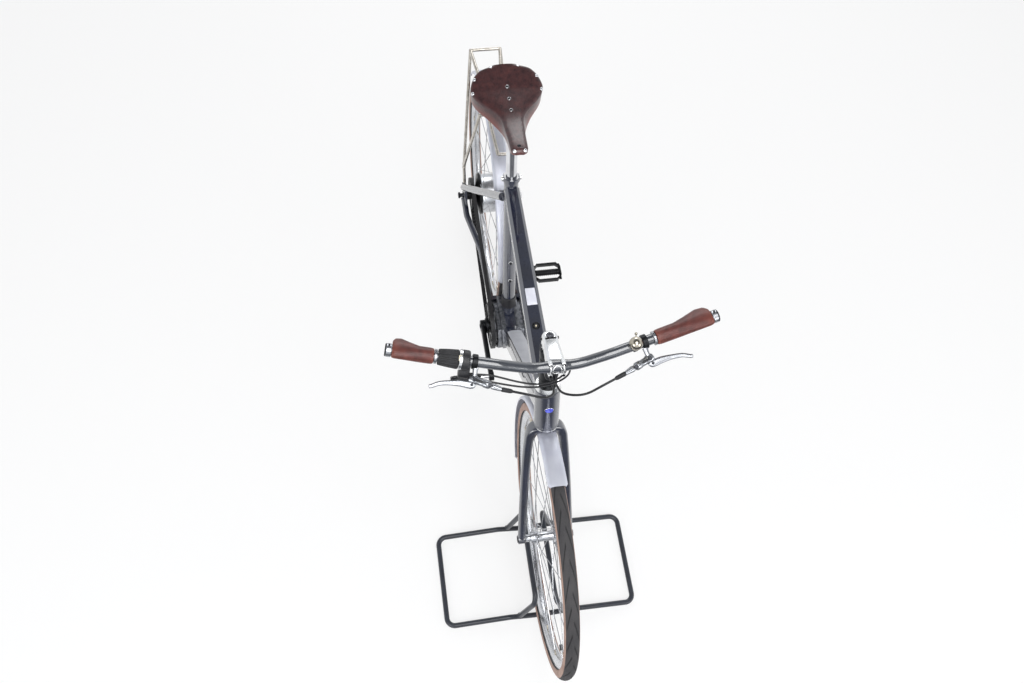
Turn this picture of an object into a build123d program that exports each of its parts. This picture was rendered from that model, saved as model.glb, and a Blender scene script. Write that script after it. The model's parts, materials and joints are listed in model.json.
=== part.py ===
from build123d import *
import os
from math import cos, radians, sin, sqrt, tan

# City bicycle with an electric hub motor, its front wheel in a floor display stand.
# X runs forward, Y to the rider's left, Z up; the floor is Z = 0 and the two axles
# stand the same distance from the origin.  Millimetres and degrees.

# ---- overall ----
wheelbase = 1053.0
wheel_radius = 343.0
tyre_width = 36.0
clearance = 5.0             # least gap between pieces that move past each other
running_gap = 0.05          # radial gap of a shaft in its bore
contact_gap = 0.4           # gap where a belt or a bearing race meets what turns

# ---- steering axis, fork and bar ----
head_angle = 70.7
fork_rake = 50.0
crown_height = 14.0
head_tube_length = 117.0
head_tube_radius = 29.0
steerer_radius = 14.3
stack_height = 112.0
stack_radius = 20.0
stem_length = 72.0
stem_width = 35.0
stem_height = 40.0
bar_half_width = 333.0
bar_rise = 53.3
bar_sweep = 48.7
bar_radius = 11.1
bar_clamp_radius = 12.7
bar_bend_y = 112.0
fork_spread = 59.0          # blade centre to the middle, at the axle
front_hub_width = 100.0

# ---- frame ----
bracket_run = 423.5         # rear axle to cranks, along the floor
bracket_height = 301.0
seat_angle = 75.1
seat_tube_length = 508.0
seat_tube_radius = 17.5
boss_height = 184.0         # lower bottle boss above the crank axle
boss_pitch = 64.0
post_radius = 13.6
post_exposed = 147.5
top_tube_rear_width = 36.0
top_tube_front_width = 46.0
top_tube_depth = 36.0
down_tube_width = 50.0
down_tube_depth = 54.0
panel_width = 38.0
panel_thickness = 2.5
rear_hub_width = 135.0
stay_radius = 9.0
gearbox_width = 92.0
gearbox_length = 136.0
gearbox_ahead = 1.0         # gearbox's middle ahead of the crank axle
gearbox_depth = 112.0

# ---- wheels and drive ----
rim_depth = 21.0
rim_width = 24.0
tyre_drop = 27.0            # tread down to the rim's outer edge
spoke_count = 28
spoke_radius = 1.1
disc_radius = 80.0
disc_thickness = 2.0
crank_length = 170.0
crank_angle = 8.0           # right arm above level, pointing forwards
crank_offset = 72.0         # arm's middle to the middle plane
crank_thickness = 14.0
belt_offset = 50.0
belt_width = 11.0
belt_thickness = 4.0
front_sprocket_radius = 62.0
rear_cog_radius = 45.0
pedal_length = 82.0
pedal_width = 58.0
pedal_thickness = 18.0
pedal_gap = 22.0            # crank arm to pedal body
right_pedal_tilt = 60.0     # its front edge above level
left_pedal_tilt = 0.0
axle_radius = 6.0

# ---- fenders, rack, saddle ----
fender_gap = 9.0
fender_thickness = 2.0
fender_width = 44.0
rack_height = 749.0
rack_tail = 176.0           # behind the rear axle
rack_half_width = 40.0
rack_tube_radius = 4.5
saddle_length = 268.0
saddle_width = 168.0
saddle_wall = 5.0

# ---- stand ----
stand_half_length = 123.0
stand_half_width = 258.0
stand_tube_radius = 7.0
stand_rail_height = 157.0
stand_corner_radius = 22.0
stand_rise = 14.0           # lift of the base's cross tubes beside the wheel
stand_rise_side = 88.0
stand_dip_side = 24.0       # they come down again to pass under the tyre

# ---- worked out from those ----
half_base = wheelbase / 2
tyre_half = tyre_width / 2
rear_axle_point = Vector(-half_base, 0, wheel_radius)
front_axle_point = Vector(half_base, 0, wheel_radius)
bracket_point = Vector(-half_base + bracket_run, 0, bracket_height)
steer_up = Vector(-cos(radians(head_angle)), 0, sin(radians(head_angle)))
steer_out = Vector(sin(radians(head_angle)), 0, cos(radians(head_angle)))
seat_up = Vector(-cos(radians(seat_angle)), 0, sin(radians(seat_angle)))
seat_out = Vector(sin(radians(seat_angle)), 0, cos(radians(seat_angle)))
rim_radius = wheel_radius - tyre_drop
fender_radius = wheel_radius + fender_gap
crown_bottom = fender_radius + fender_thickness + 1.0
race_height = crown_bottom + crown_height
head_bottom = race_height + contact_gap
head_top = head_bottom + head_tube_length
stack_bottom = head_top + contact_gap
stem_bottom = stack_bottom + stack_height
stem_middle = stem_bottom + stem_height / 2


def steer(height, out=0.0, side=0.0):
    """Point by its height along the steering axis, measured from beside the front axle."""
    return front_axle_point + steer_up * height + steer_out * (out - fork_rake) + Vector(0, side, 0)


def seat(height, out=0.0, side=0.0):
    """Point by its height along the seat tube, measured from the crank axle."""
    return bracket_point + seat_up * height + seat_out * out + Vector(0, side, 0)


def rod(start, end, radius, mode=Mode.ADD):
    """Round bar between two points."""
    run = end - start
    with BuildSketch(Plane(origin=start, z_dir=run)) as section:
        Circle(radius)
    extrude(section.sketch, amount=run.length, mode=mode)


def taper(start, end, start_radius, end_radius, mode=Mode.ADD):
    """Round bar whose radius changes evenly from one end to the other."""
    run = end - start
    with BuildSketch(Plane(origin=start, z_dir=run)) as low:
        Circle(start_radius)
    with BuildSketch(Plane(origin=end, z_dir=run)) as high:
        Circle(end_radius)
    loft([low.sketch, high.sketch], mode=mode)


def bent_tube(points, bend_radius, radius, mode=Mode.ADD):
    """Round tube along straight runs joined by tangent arcs."""
    with BuildLine() as path:
        FilletPolyline(*points, radius=bend_radius)
    with BuildSketch(Plane(origin=path.line @ 0, z_dir=path.line % 0)) as section:
        Circle(radius)
    sweep(section.sketch, path=path.line, mode=mode)


def turned(centre, outline, mode=Mode.ADD):
    """Ring about a crosswise axle, from its outline as (side, radius) pairs."""
    with BuildSketch(Plane(origin=centre, x_dir=(0, 1, 0), z_dir=(1, 0, 0))) as section:
        Polygon(*outline, align=None)
    revolve(section.sketch, axis=Axis(centre, (0, 1, 0)), mode=mode)


def side_plate(outline, near, far, mode=Mode.ADD):
    """Plate cut to an outline of (x, z) pairs, standing between two sideways places."""
    with BuildSketch(Plane(origin=(0, far, 0), x_dir=(1, 0, 0), z_dir=(0, -1, 0))) as section:
        Polygon(*outline, align=None)
    extrude(section.sketch, amount=far - near, mode=mode)


def crosswise(centre, radius, near, far, mode=Mode.ADD):
    """Round bar across the bicycle between two sideways places."""
    rod(Vector(centre.X, near, centre.Z), Vector(centre.X, far, centre.Z), radius, mode=mode)


def write(piece, name):
    """Label a finished piece and store it."""
    piece.part.label = name
    export_step(piece.part, f"parts/{name}.step")


os.makedirs("parts", exist_ok=True)

# ---- routes of the hoses and cables, from the control to the steering column ----

hose_radius = 2.5
cable_radius = 2.0
right_hose = [(393, -98, 946), (399, -66, 936), (402, -33, 915), (386, -6, 890), (357.8, -5, 879.4),
              (327.6, -5, 868.8)]
left_hose = [(389, 113, 944), (398, 84, 935), (404, 54, 915), (394, 27, 896), (377, 9, 878),
             (352.6, 5, 867), (330.9, 5, 859.4)]
upper_cable = [(343, -168, 938), (346, -138, 935), (354, -113, 931), (364, -82, 925), (371, -49, 919),
               (370, -15, 914), (352, 19, 908), (324.8, 31, 901.7), (301.6, 13.8, 893.6)]
lower_cable = [(347, -168, 927), (357, -136, 924), (366, -102, 919), (373, -67, 914), (374, -32, 909),
               (365, 4, 904), (346, 32, 894), (319.9, 39.1, 880.9), (303.5, 18.4, 875.2)]


def lead_in(route, length):
    """Point a given length before a route's start, in line with its first run."""
    start = Vector(*route[0])
    return start - (Vector(*route[1]) - start).normalized() * length


def corner_radii(route):
    """Largest arcs that the runs allow: 0.45 of the shorter run over the half turn's tangent."""
    radii = []
    for before, here, after in zip(route, route[1:], route[2:]):
        arriving = Vector(*here) - Vector(*before)
        leaving = Vector(*after) - Vector(*here)
        half_turn = radians(arriving.get_angle(leaving) / 2)
        radii.append(0.45 * min(arriving.length, leaving.length) / tan(half_turn))
    return radii


def make_lines(routes, radius, name):
    """Tubes along their routes, in one node."""
    with BuildPart() as lines:
        for route in routes:
            radii = corner_radii(route)
            print(name, "radii", [round(value, 1) for value in radii])
            bent_tube(route, radii, radius)
    write(lines, name)


make_lines([right_hose, left_hose], hose_radius, "brake_hoses")
make_lines([upper_cable, lower_cable], cable_radius, "shift_cables")


# ---- wheels ----

def make_tyre(centre, name):
    with BuildPart() as tyre:
        plane = Plane(origin=centre, x_dir=(0, 1, 0), z_dir=(1, 0, 0))
        with BuildSketch(plane) as section:
            with Locations((0, wheel_radius - tyre_half)):
                Circle(tyre_half)
            with Locations((0, rim_radius - tyre_half)):
                Rectangle(4 * tyre_half, 2 * tyre_half, mode=Mode.SUBTRACT)
        revolve(section.sketch, axis=Axis(centre, (0, 1, 0)))
    write(tyre, name)


def make_rim(centre, name):
    half = rim_width / 2
    with BuildPart() as rim:
        turned(centre, [(-half, rim_radius), (half, rim_radius), (half - 1, rim_radius - 11),
                        (5, rim_radius - rim_depth), (-5, rim_radius - rim_depth),
                        (1 - half, rim_radius - 11)])
    write(rim, name)


def make_spokes(centre, flange_radius, flange_side, name):
    """Spokes laced three across, alternately leading and trailing from each flange."""
    rim_end = rim_radius - rim_depth + 2.0
    pitch = 360.0 / spoke_count
    lead = 2.5 * 2 * pitch
    with BuildPart() as spokes:
        for index in range(spoke_count):
            side = 1 if index % 2 else -1
            turn = 1 if index // 2 % 2 else -1
            at_rim = radians(index * pitch)
            at_hub = radians(index * pitch + turn * lead)
            head_side = side * (flange_side + turn * 1.6)
            foot = centre + Vector(cos(at_hub) * flange_radius, head_side, sin(at_hub) * flange_radius)
            rim_side = side * 3.5 + side * turn * 1.5
            tip = centre + Vector(cos(at_rim) * rim_end, rim_side, sin(at_rim) * rim_end)
            rod(foot, tip, spoke_radius)
    write(spokes, name)


front_flange_radius = 21.0
front_flange_side = 22.0
front_barrel_radius = 13.0
front_disc_side = 37.0
rear_flange_radius = 56.0
rear_flange_side = 27.0
motor_radius = 61.0
motor_half_width = 34.0
rear_disc_side = 51.0

make_tyre(front_axle_point, "front_tyre")
make_tyre(rear_axle_point, "rear_tyre")
make_rim(front_axle_point, "front_rim")
make_rim(rear_axle_point, "rear_rim")
make_spokes(front_axle_point, front_flange_radius, front_flange_side, "front_spokes")
make_spokes(rear_axle_point, rear_flange_radius, rear_flange_side, "rear_spokes")

hub_bore = axle_radius + running_gap
front_hub_end = front_hub_width / 2 - 1.0
rear_hub_end = rear_hub_width / 2 - 1.0
flange_half = 3.0

with BuildPart() as front_hub:
    turned(front_axle_point, [
        (-front_hub_end, hub_bore), (front_hub_end, hub_bore), (front_hub_end, 9), (front_disc_side, 11),
        (front_disc_side, front_barrel_radius), (front_flange_side + flange_half, front_barrel_radius),
        (front_flange_side + flange_half, front_flange_radius + 4),
        (front_flange_side - flange_half, front_flange_radius + 4),
        (front_flange_side - 8, front_barrel_radius), (8 - front_flange_side, front_barrel_radius),
        (flange_half - front_flange_side, front_flange_radius + 4),
        (-front_flange_side - flange_half, front_flange_radius + 4),
        (-front_flange_side - flange_half, front_barrel_radius), (-front_disc_side, 11),
        (-front_hub_end, 9)])
write(front_hub, "front_hub")


def make_disc(centre, side, name):
    """Brake disc with five arms and a drilled band."""
    far = side + disc_thickness
    with BuildPart() as disc:
        crosswise(centre, disc_radius, side, far)
        crosswise(centre, disc_radius - 17, side, far, mode=Mode.SUBTRACT)
        crosswise(centre, 22, side, far)
        for arm in range(5):
            angle = radians(arm * 72 + 20)
            lead = radians(arm * 72 + 50)
            inner = centre + Vector(cos(angle) * 17, 0, sin(angle) * 17)
            outer = centre + Vector(cos(lead) * (disc_radius - 12), 0, sin(lead) * (disc_radius - 12))
            along = (outer - inner).normalized()
            across = Vector(-along.Z, 0, along.X) * 4.0
            side_plate([(p.X, p.Z) for p in (inner - across, outer - across, outer + across,
                                             inner + across)], side, far)
        crosswise(centre, front_barrel_radius, side, far, mode=Mode.SUBTRACT)
    write(disc, name)


make_disc(front_axle_point, front_disc_side - disc_thickness, "front_disc")
make_disc(rear_axle_point, rear_disc_side, "rear_disc")

with BuildPart() as rear_hub:
    turned(rear_axle_point, [
        (-rear_hub_end, hub_bore), (rear_hub_end, hub_bore), (rear_hub_end, 11),
        (rear_disc_side + 6, front_barrel_radius), (motor_half_width + 4, front_barrel_radius),
        (motor_half_width + 4, 30), (motor_half_width, 42), (motor_half_width, motor_radius - 4),
        (motor_half_width - 4, motor_radius), (4 - motor_half_width, motor_radius),
        (-motor_half_width, motor_radius - 4), (-motor_half_width, 42), (-motor_half_width - 4, 30),
        (-motor_half_width - 4, 15), (-rear_hub_end, 15)])
write(rear_hub, "rear_hub_motor")


def toothed_wheel(centre, radius, bore, teeth):
    """Belt wheel with square-cut teeth and a light web."""
    near = -belt_offset - belt_width / 2
    far = -belt_offset + belt_width / 2
    crosswise(centre, radius, near, far)
    crosswise(centre, bore, near, far, mode=Mode.SUBTRACT)
    for tooth in range(teeth):
        angle = radians(tooth * 360 / teeth)
        groove = centre + Vector(cos(angle) * radius, 0, sin(angle) * radius)
        crosswise(groove, radius * 1.2 / teeth, near, far, mode=Mode.SUBTRACT)


with BuildPart() as rear_cog:
    toothed_wheel(rear_axle_point, rear_cog_radius, 15, 24)
write(rear_cog, "rear_cog")

# ---- cranks and pedals ----

crank_near = crank_offset - crank_thickness / 2
crank_far = crank_offset + crank_thickness / 2
crank_axle_radius = 12.0
crank_way = Vector(cos(radians(crank_angle)), 0, sin(radians(crank_angle)))
crank_over = Vector(-crank_way.Z, 0, crank_way.X)


def pedal_point(direction):
    """Middle of a pedal thread: 1 for the right arm, -1 for the left."""
    return bracket_point + crank_way * (direction * crank_length)


def crank_arm(direction, side):
    """Flat tapered arm from the crank axle to the pedal thread."""
    tip = pedal_point(direction)
    near, far = sorted((side * crank_near, side * crank_far))
    hub_half = 17.0
    tip_half = 13.0
    crosswise(bracket_point, hub_half, near, far)
    crosswise(tip, tip_half, near, far)
    corners = [bracket_point - crank_over * (hub_half - 1), tip - crank_over * (tip_half - 1),
               tip + crank_over * (tip_half - 1), bracket_point + crank_over * (hub_half - 1)]
    side_plate([(corner.X, corner.Z) for corner in corners], near, far)


pedal_axle_radius = 5.5
pedal_inner = crank_far + pedal_gap
pedal_outer = pedal_inner + pedal_length

with BuildPart() as crankset:
    crank_arm(1, -1)
    crank_arm(-1, 1)
    crosswise(bracket_point, crank_axle_radius, -crank_far, crank_far)
    for direction in (1, -1):
        tip = pedal_point(direction)
        near, far = sorted((-direction * crank_near, -direction * (pedal_outer - 6)))
        crosswise(tip, pedal_axle_radius, near, far)
write(crankset, "crankset")

with BuildPart() as front_sprocket:
    toothed_wheel(bracket_point, front_sprocket_radius, crank_axle_radius, 32)
    for window in range(5):
        angle = radians(window * 72)
        middle = bracket_point + Vector(cos(angle) * 38, 0, sin(angle) * 38)
        crosswise(middle, 12, -belt_offset - belt_width, -belt_offset + belt_width, mode=Mode.SUBTRACT)
    near = -crank_near
    crosswise(bracket_point, 22, near, -belt_offset - belt_width / 2)
    crosswise(bracket_point, crank_axle_radius, -crank_far, 0, mode=Mode.SUBTRACT)
write(front_sprocket, "front_sprocket")


def make_pedal(direction, tilt, name):
    """Cage pedal: a barrel round the axle, an outer frame and two open slots."""
    tip = pedal_point(direction)
    pedal_way = Vector(cos(radians(tilt)), 0, sin(radians(tilt)))
    pedal_over = Vector(-pedal_way.Z, 0, pedal_way.X)
    side = -direction
    middle = side * (pedal_inner + pedal_outer) / 2
    barrel_radius = 11.0
    with BuildPart() as pedal:
        foot = tip + Vector(0, middle, 0) - pedal_over * (pedal_thickness / 2)
        with BuildSketch(Plane(origin=foot, x_dir=pedal_way, z_dir=pedal_over)) as outline:
            RectangleRounded(pedal_width, pedal_length, 12)
            for end in (1, -1):
                with Locations((end * (barrel_radius + 9.5), 0)):
                    RectangleRounded(11, pedal_length - 14, 4, mode=Mode.SUBTRACT)
        extrude(outline.sketch, amount=pedal_thickness)
        near, far = sorted((side * pedal_inner, side * pedal_outer))
        crosswise(tip, barrel_radius, near, far)
        bore_near, bore_far = sorted((side * (pedal_inner - 1), side * (pedal_outer - 5)))
        crosswise(tip, pedal_axle_radius + running_gap, bore_near, bore_far, mode=Mode.SUBTRACT)
    write(pedal, name)


make_pedal(1, right_pedal_tilt, "pedal_right")
make_pedal(-1, left_pedal_tilt, "pedal_left")

# ---- fork, headset, stem and bar ----

front_dropout_inner = front_hub_width / 2
fork_tip_radius = 10.0
fork_top_radius = 12.0
fork_knee_radius = 11.0
fork_knee_height = 235.0    # where the blades stop spreading fast
fork_knee_side = 47.0
crown_half = 48.0
blade_top = crown_bottom - 26.0
arch_half = tyre_half + clearance
lug_width = 19.0

with BuildPart() as front_axle:
    crosswise(front_axle_point, axle_radius, -front_dropout_inner - lug_width, front_dropout_inner + lug_width)
    for side in (1, -1):
        near, far = sorted((side * (front_dropout_inner + lug_width),
                            side * (front_dropout_inner + lug_width + 1.5)))
        crosswise(front_axle_point, 9, near, far)
write(front_axle, "front_axle")

with BuildPart() as fork:
    crown_plane = Plane(origin=steer(0, -18), x_dir=(0, 1, 0), z_dir=steer_out)
    with BuildSketch(crown_plane) as crown:
        half_flat = 26.0
        Polygon((-half_flat, race_height), (-crown_half, race_height - 16), (-crown_half, blade_top - 8),
                (-arch_half, blade_top - 8), (-arch_half, crown_bottom - 6), (-arch_half + 6, crown_bottom),
                (arch_half - 6, crown_bottom), (arch_half, crown_bottom - 6), (arch_half, blade_top - 8),
                (crown_half, blade_top - 8), (crown_half, race_height - 16), (half_flat, race_height),
                align=None)
    extrude(crown.sketch, amount=36)
    for side in (1, -1):
        knee = steer(fork_knee_height, 17, side * fork_knee_side)
        taper(steer(blade_top, 4, side * (crown_half - fork_top_radius)), knee, fork_top_radius,
              fork_knee_radius)
        with Locations(knee):
            Sphere(fork_knee_radius)
        taper(knee, steer(6, fork_rake - 1, side * fork_spread), fork_knee_radius, fork_tip_radius)
        near, far = sorted((side * front_dropout_inner, side * (front_dropout_inner + lug_width)))
        crosswise(front_axle_point, 12, near, far)
    rod(steer(race_height - 2), steer(stem_middle + 12), steerer_radius)
    crosswise(front_axle_point, axle_radius, -80, 80, mode=Mode.SUBTRACT)
    hub_room = front_dropout_inner
    crosswise(front_axle_point, 16, -hub_room, hub_room, mode=Mode.SUBTRACT)
write(fork, "fork")

spacer_seam = stack_bottom + 12.0
with BuildPart() as headset_spacers:
    taper(steer(stack_bottom), steer(spacer_seam), head_tube_radius, head_tube_radius - 3)
    taper(steer(spacer_seam), steer(stem_bottom), stack_radius + 1, stack_radius)
    rod(steer(stack_bottom + 66), steer(stack_bottom + 66, 36), 15)
    for height, angle in ((stem_bottom - 10.6, 35), (stem_bottom - 28.6, 50)):
        way = steer_out * cos(radians(angle)) + Vector(0, sin(radians(angle)), 0)
        rod(steer(height), steer(height) + way * 24, 4.5)
    rod(steer(stack_bottom), steer(stem_bottom), steerer_radius, mode=Mode.SUBTRACT)
write(headset_spacers, "headset_spacers")

bar_centre = steer(stem_middle, stem_length)
stem_neck = stem_length - bar_clamp_radius - 4

with BuildPart() as stem:
    rod(steer(stem_bottom), steer(stem_bottom + stem_height), stem_width / 2)
    neck_plane = Plane(origin=steer(stem_middle), x_dir=(0, 1, 0), z_dir=steer_out)
    with BuildSketch(neck_plane) as neck_start:
        RectangleRounded(stem_width - 4, stem_height - 6, 9)
    with BuildSketch(neck_plane.offset(stem_neck)) as neck_end:
        RectangleRounded(stem_width + 3, stem_height - 10, 7)
    loft([neck_start.sketch, neck_end.sketch])
    rod(steer(stem_bottom + stem_height), steer(stem_bottom + stem_height + 1.5), 14)
    with BuildSketch(neck_plane.offset(stem_neck)) as jaw:
        RectangleRounded(stem_width + 3, stem_height - 10, 7)
    extrude(jaw.sketch, amount=bar_clamp_radius + 3.5)
    crosswise(bar_centre, bar_clamp_radius, -60, 60, mode=Mode.SUBTRACT)
    rod(steer(stem_bottom), steer(stem_middle + 12), steerer_radius, mode=Mode.SUBTRACT)
write(stem, "stem")

with BuildPart() as stem_faceplate:
    cap_plane = Plane(origin=steer(stem_middle, stem_length + 0.5), x_dir=(0, 1, 0), z_dir=steer_out)
    with BuildSketch(cap_plane) as cap:
        RectangleRounded(stem_width + 3, stem_height - 8, 4)
        Rectangle(stem_width - 15, stem_height, mode=Mode.SUBTRACT)
        with Locations((0, stem_height / 2 - 14), (0, 14 - stem_height / 2)):
            Rectangle(stem_width - 14, 6)
    extrude(cap.sketch, amount=bar_clamp_radius + 4)
    crosswise(bar_centre, bar_clamp_radius, -60, 60, mode=Mode.SUBTRACT)
write(stem_faceplate, "stem_faceplate")

bar_out = 48.0              # half of the bar's straight middle, before its bends
bar_clamp_half = 24.0
bar_lift = 21.0
bar_back = 5.0


def bar_point(side, reach):
    """Point on the bar's straight outer run, by how far it is from the middle plane."""
    share = (reach - bar_bend_y) / (bar_half_width - bar_bend_y)
    back = bar_back + (bar_sweep - bar_back) * share
    rise = bar_lift + (bar_rise - bar_lift) * share
    return bar_centre + Vector(-back, side * reach, rise)


def bar_axis(side):
    """Direction along the bar's outer run, away from the middle."""
    return (bar_point(side, bar_half_width) - bar_point(side, bar_bend_y)).normalized()


with BuildPart() as handlebar:
    bent_tube([bar_point(-1, bar_half_width), bar_point(-1, bar_bend_y), bar_centre + Vector(0, -bar_out, 0),
               bar_centre + Vector(0, bar_out, 0), bar_point(1, bar_bend_y), bar_point(1, bar_half_width)],
              120, bar_radius)
    crosswise(bar_centre, bar_clamp_radius, -bar_clamp_half, bar_clamp_half)
write(handlebar, "handlebar")

grip_outer = bar_half_width - 7.0
grip_inner_right = 245.0
grip_inner_left = 206.0


def make_grip(side, inner, name):
    """Leather grip, round at its inner end, with a palm rest that grows towards the outer end."""
    axis = bar_axis(side)
    level_back = Vector(-1, 0, -0.35)
    back = (level_back - axis * level_back.dot(axis)).normalized()
    with BuildPart() as grip:
        middle_reach = inner + (grip_outer - inner) * 0.45
        sections = []
        for reach, width, depth in ((inner, 33, 33), (middle_reach, 36, 32), (grip_outer, 52, 28)):
            centre = bar_point(side, reach) + back * ((width - 33) * 0.42)
            with BuildSketch(Plane(origin=centre, x_dir=back, z_dir=axis)) as section:
                Ellipse(width / 2, depth / 2)
            sections.append(section.sketch)
        loft(sections, ruled=True)
        rod(bar_point(side, inner - 10), bar_point(side, bar_half_width), bar_radius, mode=Mode.SUBTRACT)
    write(grip, name)


make_grip(1, grip_inner_left, "grip_left")
make_grip(-1, grip_inner_right, "grip_right")

clamp_length = 6.0

with BuildPart() as grip_clamps:
    for side, inner in ((1, grip_inner_left), (-1, grip_inner_right)):
        rod(bar_point(side, inner - clamp_length), bar_point(side, inner - 0.5), 15)
        rod(bar_point(side, grip_outer + 0.5), bar_point(side, bar_half_width + 4), 16)
        rod(bar_point(side, inner - 10), bar_point(side, bar_half_width), bar_radius, mode=Mode.SUBTRACT)
write(grip_clamps, "grip_clamps")

twist_outer = grip_inner_right - clamp_length - 1.0
twist_inner = twist_outer - 41.0
housing_inner = twist_inner - 22.0

with BuildPart() as twist_shifter:
    taper(bar_point(-1, twist_inner), bar_point(-1, twist_outer), 19, 16)
    rod(bar_point(-1, housing_inner), bar_point(-1, twist_inner), 21)
    box_plane = Plane(origin=bar_point(-1, (housing_inner + twist_inner) / 2) + Vector(7, 0, -16),
                      x_dir=(1, 0, -1), z_dir=bar_axis(-1))
    with BuildSketch(box_plane.offset(-11)) as box_section:
        RectangleRounded(46, 30, 10)
    extrude(box_section.sketch, amount=22)
    for route in (upper_cable, lower_cable):
        rod(lead_in(route, 22), Vector(*route[0]), cable_radius + 1.5)
    rod(bar_point(-1, housing_inner - 5), bar_point(-1, twist_outer + 5), bar_radius, mode=Mode.SUBTRACT)
write(twist_shifter, "twist_shifter")

brake_reach_right = housing_inner - 10.0
brake_reach_left = grip_inner_left - clamp_length - 18.0
sleeve_length = 22.0
cylinder_share = 0.62       # cylinder's part of the run from the bar clamp to the hose sleeve


def make_brake(side, reach, hose, name):
    """Hydraulic lever: bar clamp, slanting cylinder, finger lever, and the sleeve its hose leaves."""
    forward = Vector(1, 0, -0.42).normalized()
    root = bar_point(side, reach)
    axis = bar_axis(side)
    cylinder_outer = root + forward * 37 + axis * 6
    sleeve_start = lead_in(hose, sleeve_length)
    hose_run = sleeve_start - cylinder_outer
    cylinder_inner = cylinder_outer + hose_run * cylinder_share
    pivot = root + forward * 48 + axis * 12
    elbow = root + forward * 49 + axis * 52
    tip = root + forward * 62 + axis * 99
    with BuildPart() as brake:
        rod(bar_point(side, reach - 6), bar_point(side, reach + 6), 17)
        rod(root + forward * 12, cylinder_outer, 7)
        rod(cylinder_outer, cylinder_inner, 9)
        taper(cylinder_inner, sleeve_start, 8, 4.5)
        taper(sleeve_start, Vector(*hose[0]), 4.5, 3.5)
        taper(cylinder_outer, pivot, 9, 8)
        taper(pivot, elbow, 8, 5)
        taper(elbow, tip, 5, 3.5)
        for joint_point, joint_radius in ((cylinder_inner, 8), (pivot, 8), (elbow, 5), (tip, 4.5)):
            with Locations(joint_point):
                Sphere(joint_radius)
        rod(bar_point(side, reach - 20), bar_point(side, reach + 20), bar_radius, mode=Mode.SUBTRACT)
    write(brake, name)


make_brake(-1, brake_reach_right, right_hose, "brake_lever_right")
make_brake(1, brake_reach_left, left_hose, "brake_lever_left")

bell_reach = 160.0
bell_radius = 14.5
with BuildPart() as bell:
    rod(bar_point(1, bell_reach - 5), bar_point(1, bell_reach + 5), bar_radius + 2.5)
    dome = bar_point(1, bell_reach) + Vector(6, 0, 20)
    rod(bar_point(1, bell_reach), dome, 4)
    with Locations(dome):
        Sphere(bell_radius)
    taper(dome + Vector(-6, 4, -8), dome + Vector(-26, 6, -6), 3, 2)
    rod(bar_point(1, bell_reach - 15), bar_point(1, bell_reach + 15), bar_radius, mode=Mode.SUBTRACT)
write(bell, "bell")

# ---- fenders, calipers, stand ----


def make_fender(centre, start_angle, end_angle, mount_start, mount_end, avoid, name):
    """Curved strip over a tyre, open below, with the boss that carries it."""
    half = fender_width / 2
    inner = fender_radius
    outer = fender_radius + fender_thickness
    angle = radians(start_angle)
    plane = Plane(origin=centre, x_dir=(0, 1, 0), z_dir=(sin(angle), 0, -cos(angle)))
    with BuildPart() as fender:
        with BuildSketch(plane) as section:
            Polygon((-half, inner - 7), (-half + 4, outer - 1.5), (-half + 10, outer), (half - 10, outer),
                    (half - 4, outer - 1.5), (half, inner - 7), (half - fender_thickness, inner - 7),
                    (half - 5, inner - 1.5), (half - 10, inner), (-half + 10, inner),
                    (-half + 5, inner - 1.5), (-half + fender_thickness, inner - 7), align=None)
        revolve(section.sketch, axis=Axis(centre, (0, -1, 0)), revolution_arc=end_angle - start_angle)
        rod(mount_start, mount_end, 6)
        for piece in avoid:
            add(piece.part, mode=Mode.SUBTRACT)
    write(fender, name)


make_fender(front_axle_point, 91.5, 215, steer(crown_bottom), steer(crown_bottom - 4.5), [fork], "front_fender")

caliper_gap = 1.5
caliper_reach = disc_radius - 12


def make_caliper(centre, direction, disc_near, inner, outer, avoid, name):
    """Brake caliper with a slot for the disc, cut to sit on the piece beside it."""
    middle = centre + direction * caliper_reach
    with BuildPart() as caliper:
        with BuildSketch(Plane(origin=(middle.X, outer, middle.Z), x_dir=direction,
                               z_dir=(0, -1, 0))) as block:
            RectangleRounded(38, 46, 8)
        extrude(block.sketch, amount=outer - inner)
        crosswise(centre, disc_radius + 3, disc_near - caliper_gap,
                  disc_near + disc_thickness + caliper_gap, mode=Mode.SUBTRACT)
        for piece in avoid:
            add(piece.part, mode=Mode.SUBTRACT)
    write(caliper, name)


front_caliper_way = (steer_up * 58 - steer_out * 34).normalized()
make_caliper(front_axle_point, front_caliper_way, front_disc_side - disc_thickness, 28.5, 50, [fork],
             "front_caliper")

stand_x = half_base
with BuildPart() as display_stand:
    low = stand_tube_radius
    with BuildLine() as loop:
        corners = []
        for end, first in ((-1, 1), (1, -1)):
            x = stand_x + end * stand_half_length
            corners += [(x, first * stand_half_width, low), (x, first * stand_rise_side, low + stand_rise),
                        (x, first * stand_dip_side, low), (x, -first * stand_dip_side, low),
                        (x, -first * stand_rise_side, low + stand_rise), (x, -first * stand_half_width, low)]
        FilletPolyline(*corners, radius=stand_corner_radius, close=True)
    with BuildSketch(Plane(origin=loop.line @ 0, z_dir=loop.line % 0)) as loop_section:
        Circle(stand_tube_radius)
    sweep(loop_section.sketch, path=loop.line)
write(display_stand, "display_stand")

holder_foot_side = 62.0
holder_foot_height = stand_tube_radius + 11.0
holder_rail_side = 26.0     # 5 mm clear of the spokes at that height
with BuildPart() as wheel_holder:
    for side in (1, -1):
        bent_tube([Vector(stand_x - stand_half_length, side * holder_foot_side, holder_foot_height),
                   Vector(stand_x - stand_half_length + 2, side * holder_rail_side, stand_rail_height),
                   Vector(stand_x + stand_half_length - 2, side * holder_rail_side, stand_rail_height),
                   Vector(stand_x + stand_half_length, side * holder_foot_side, holder_foot_height)],
                  28, stand_tube_radius)
    add(display_stand.part, mode=Mode.SUBTRACT)
write(wheel_holder, "wheel_holder")

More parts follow.
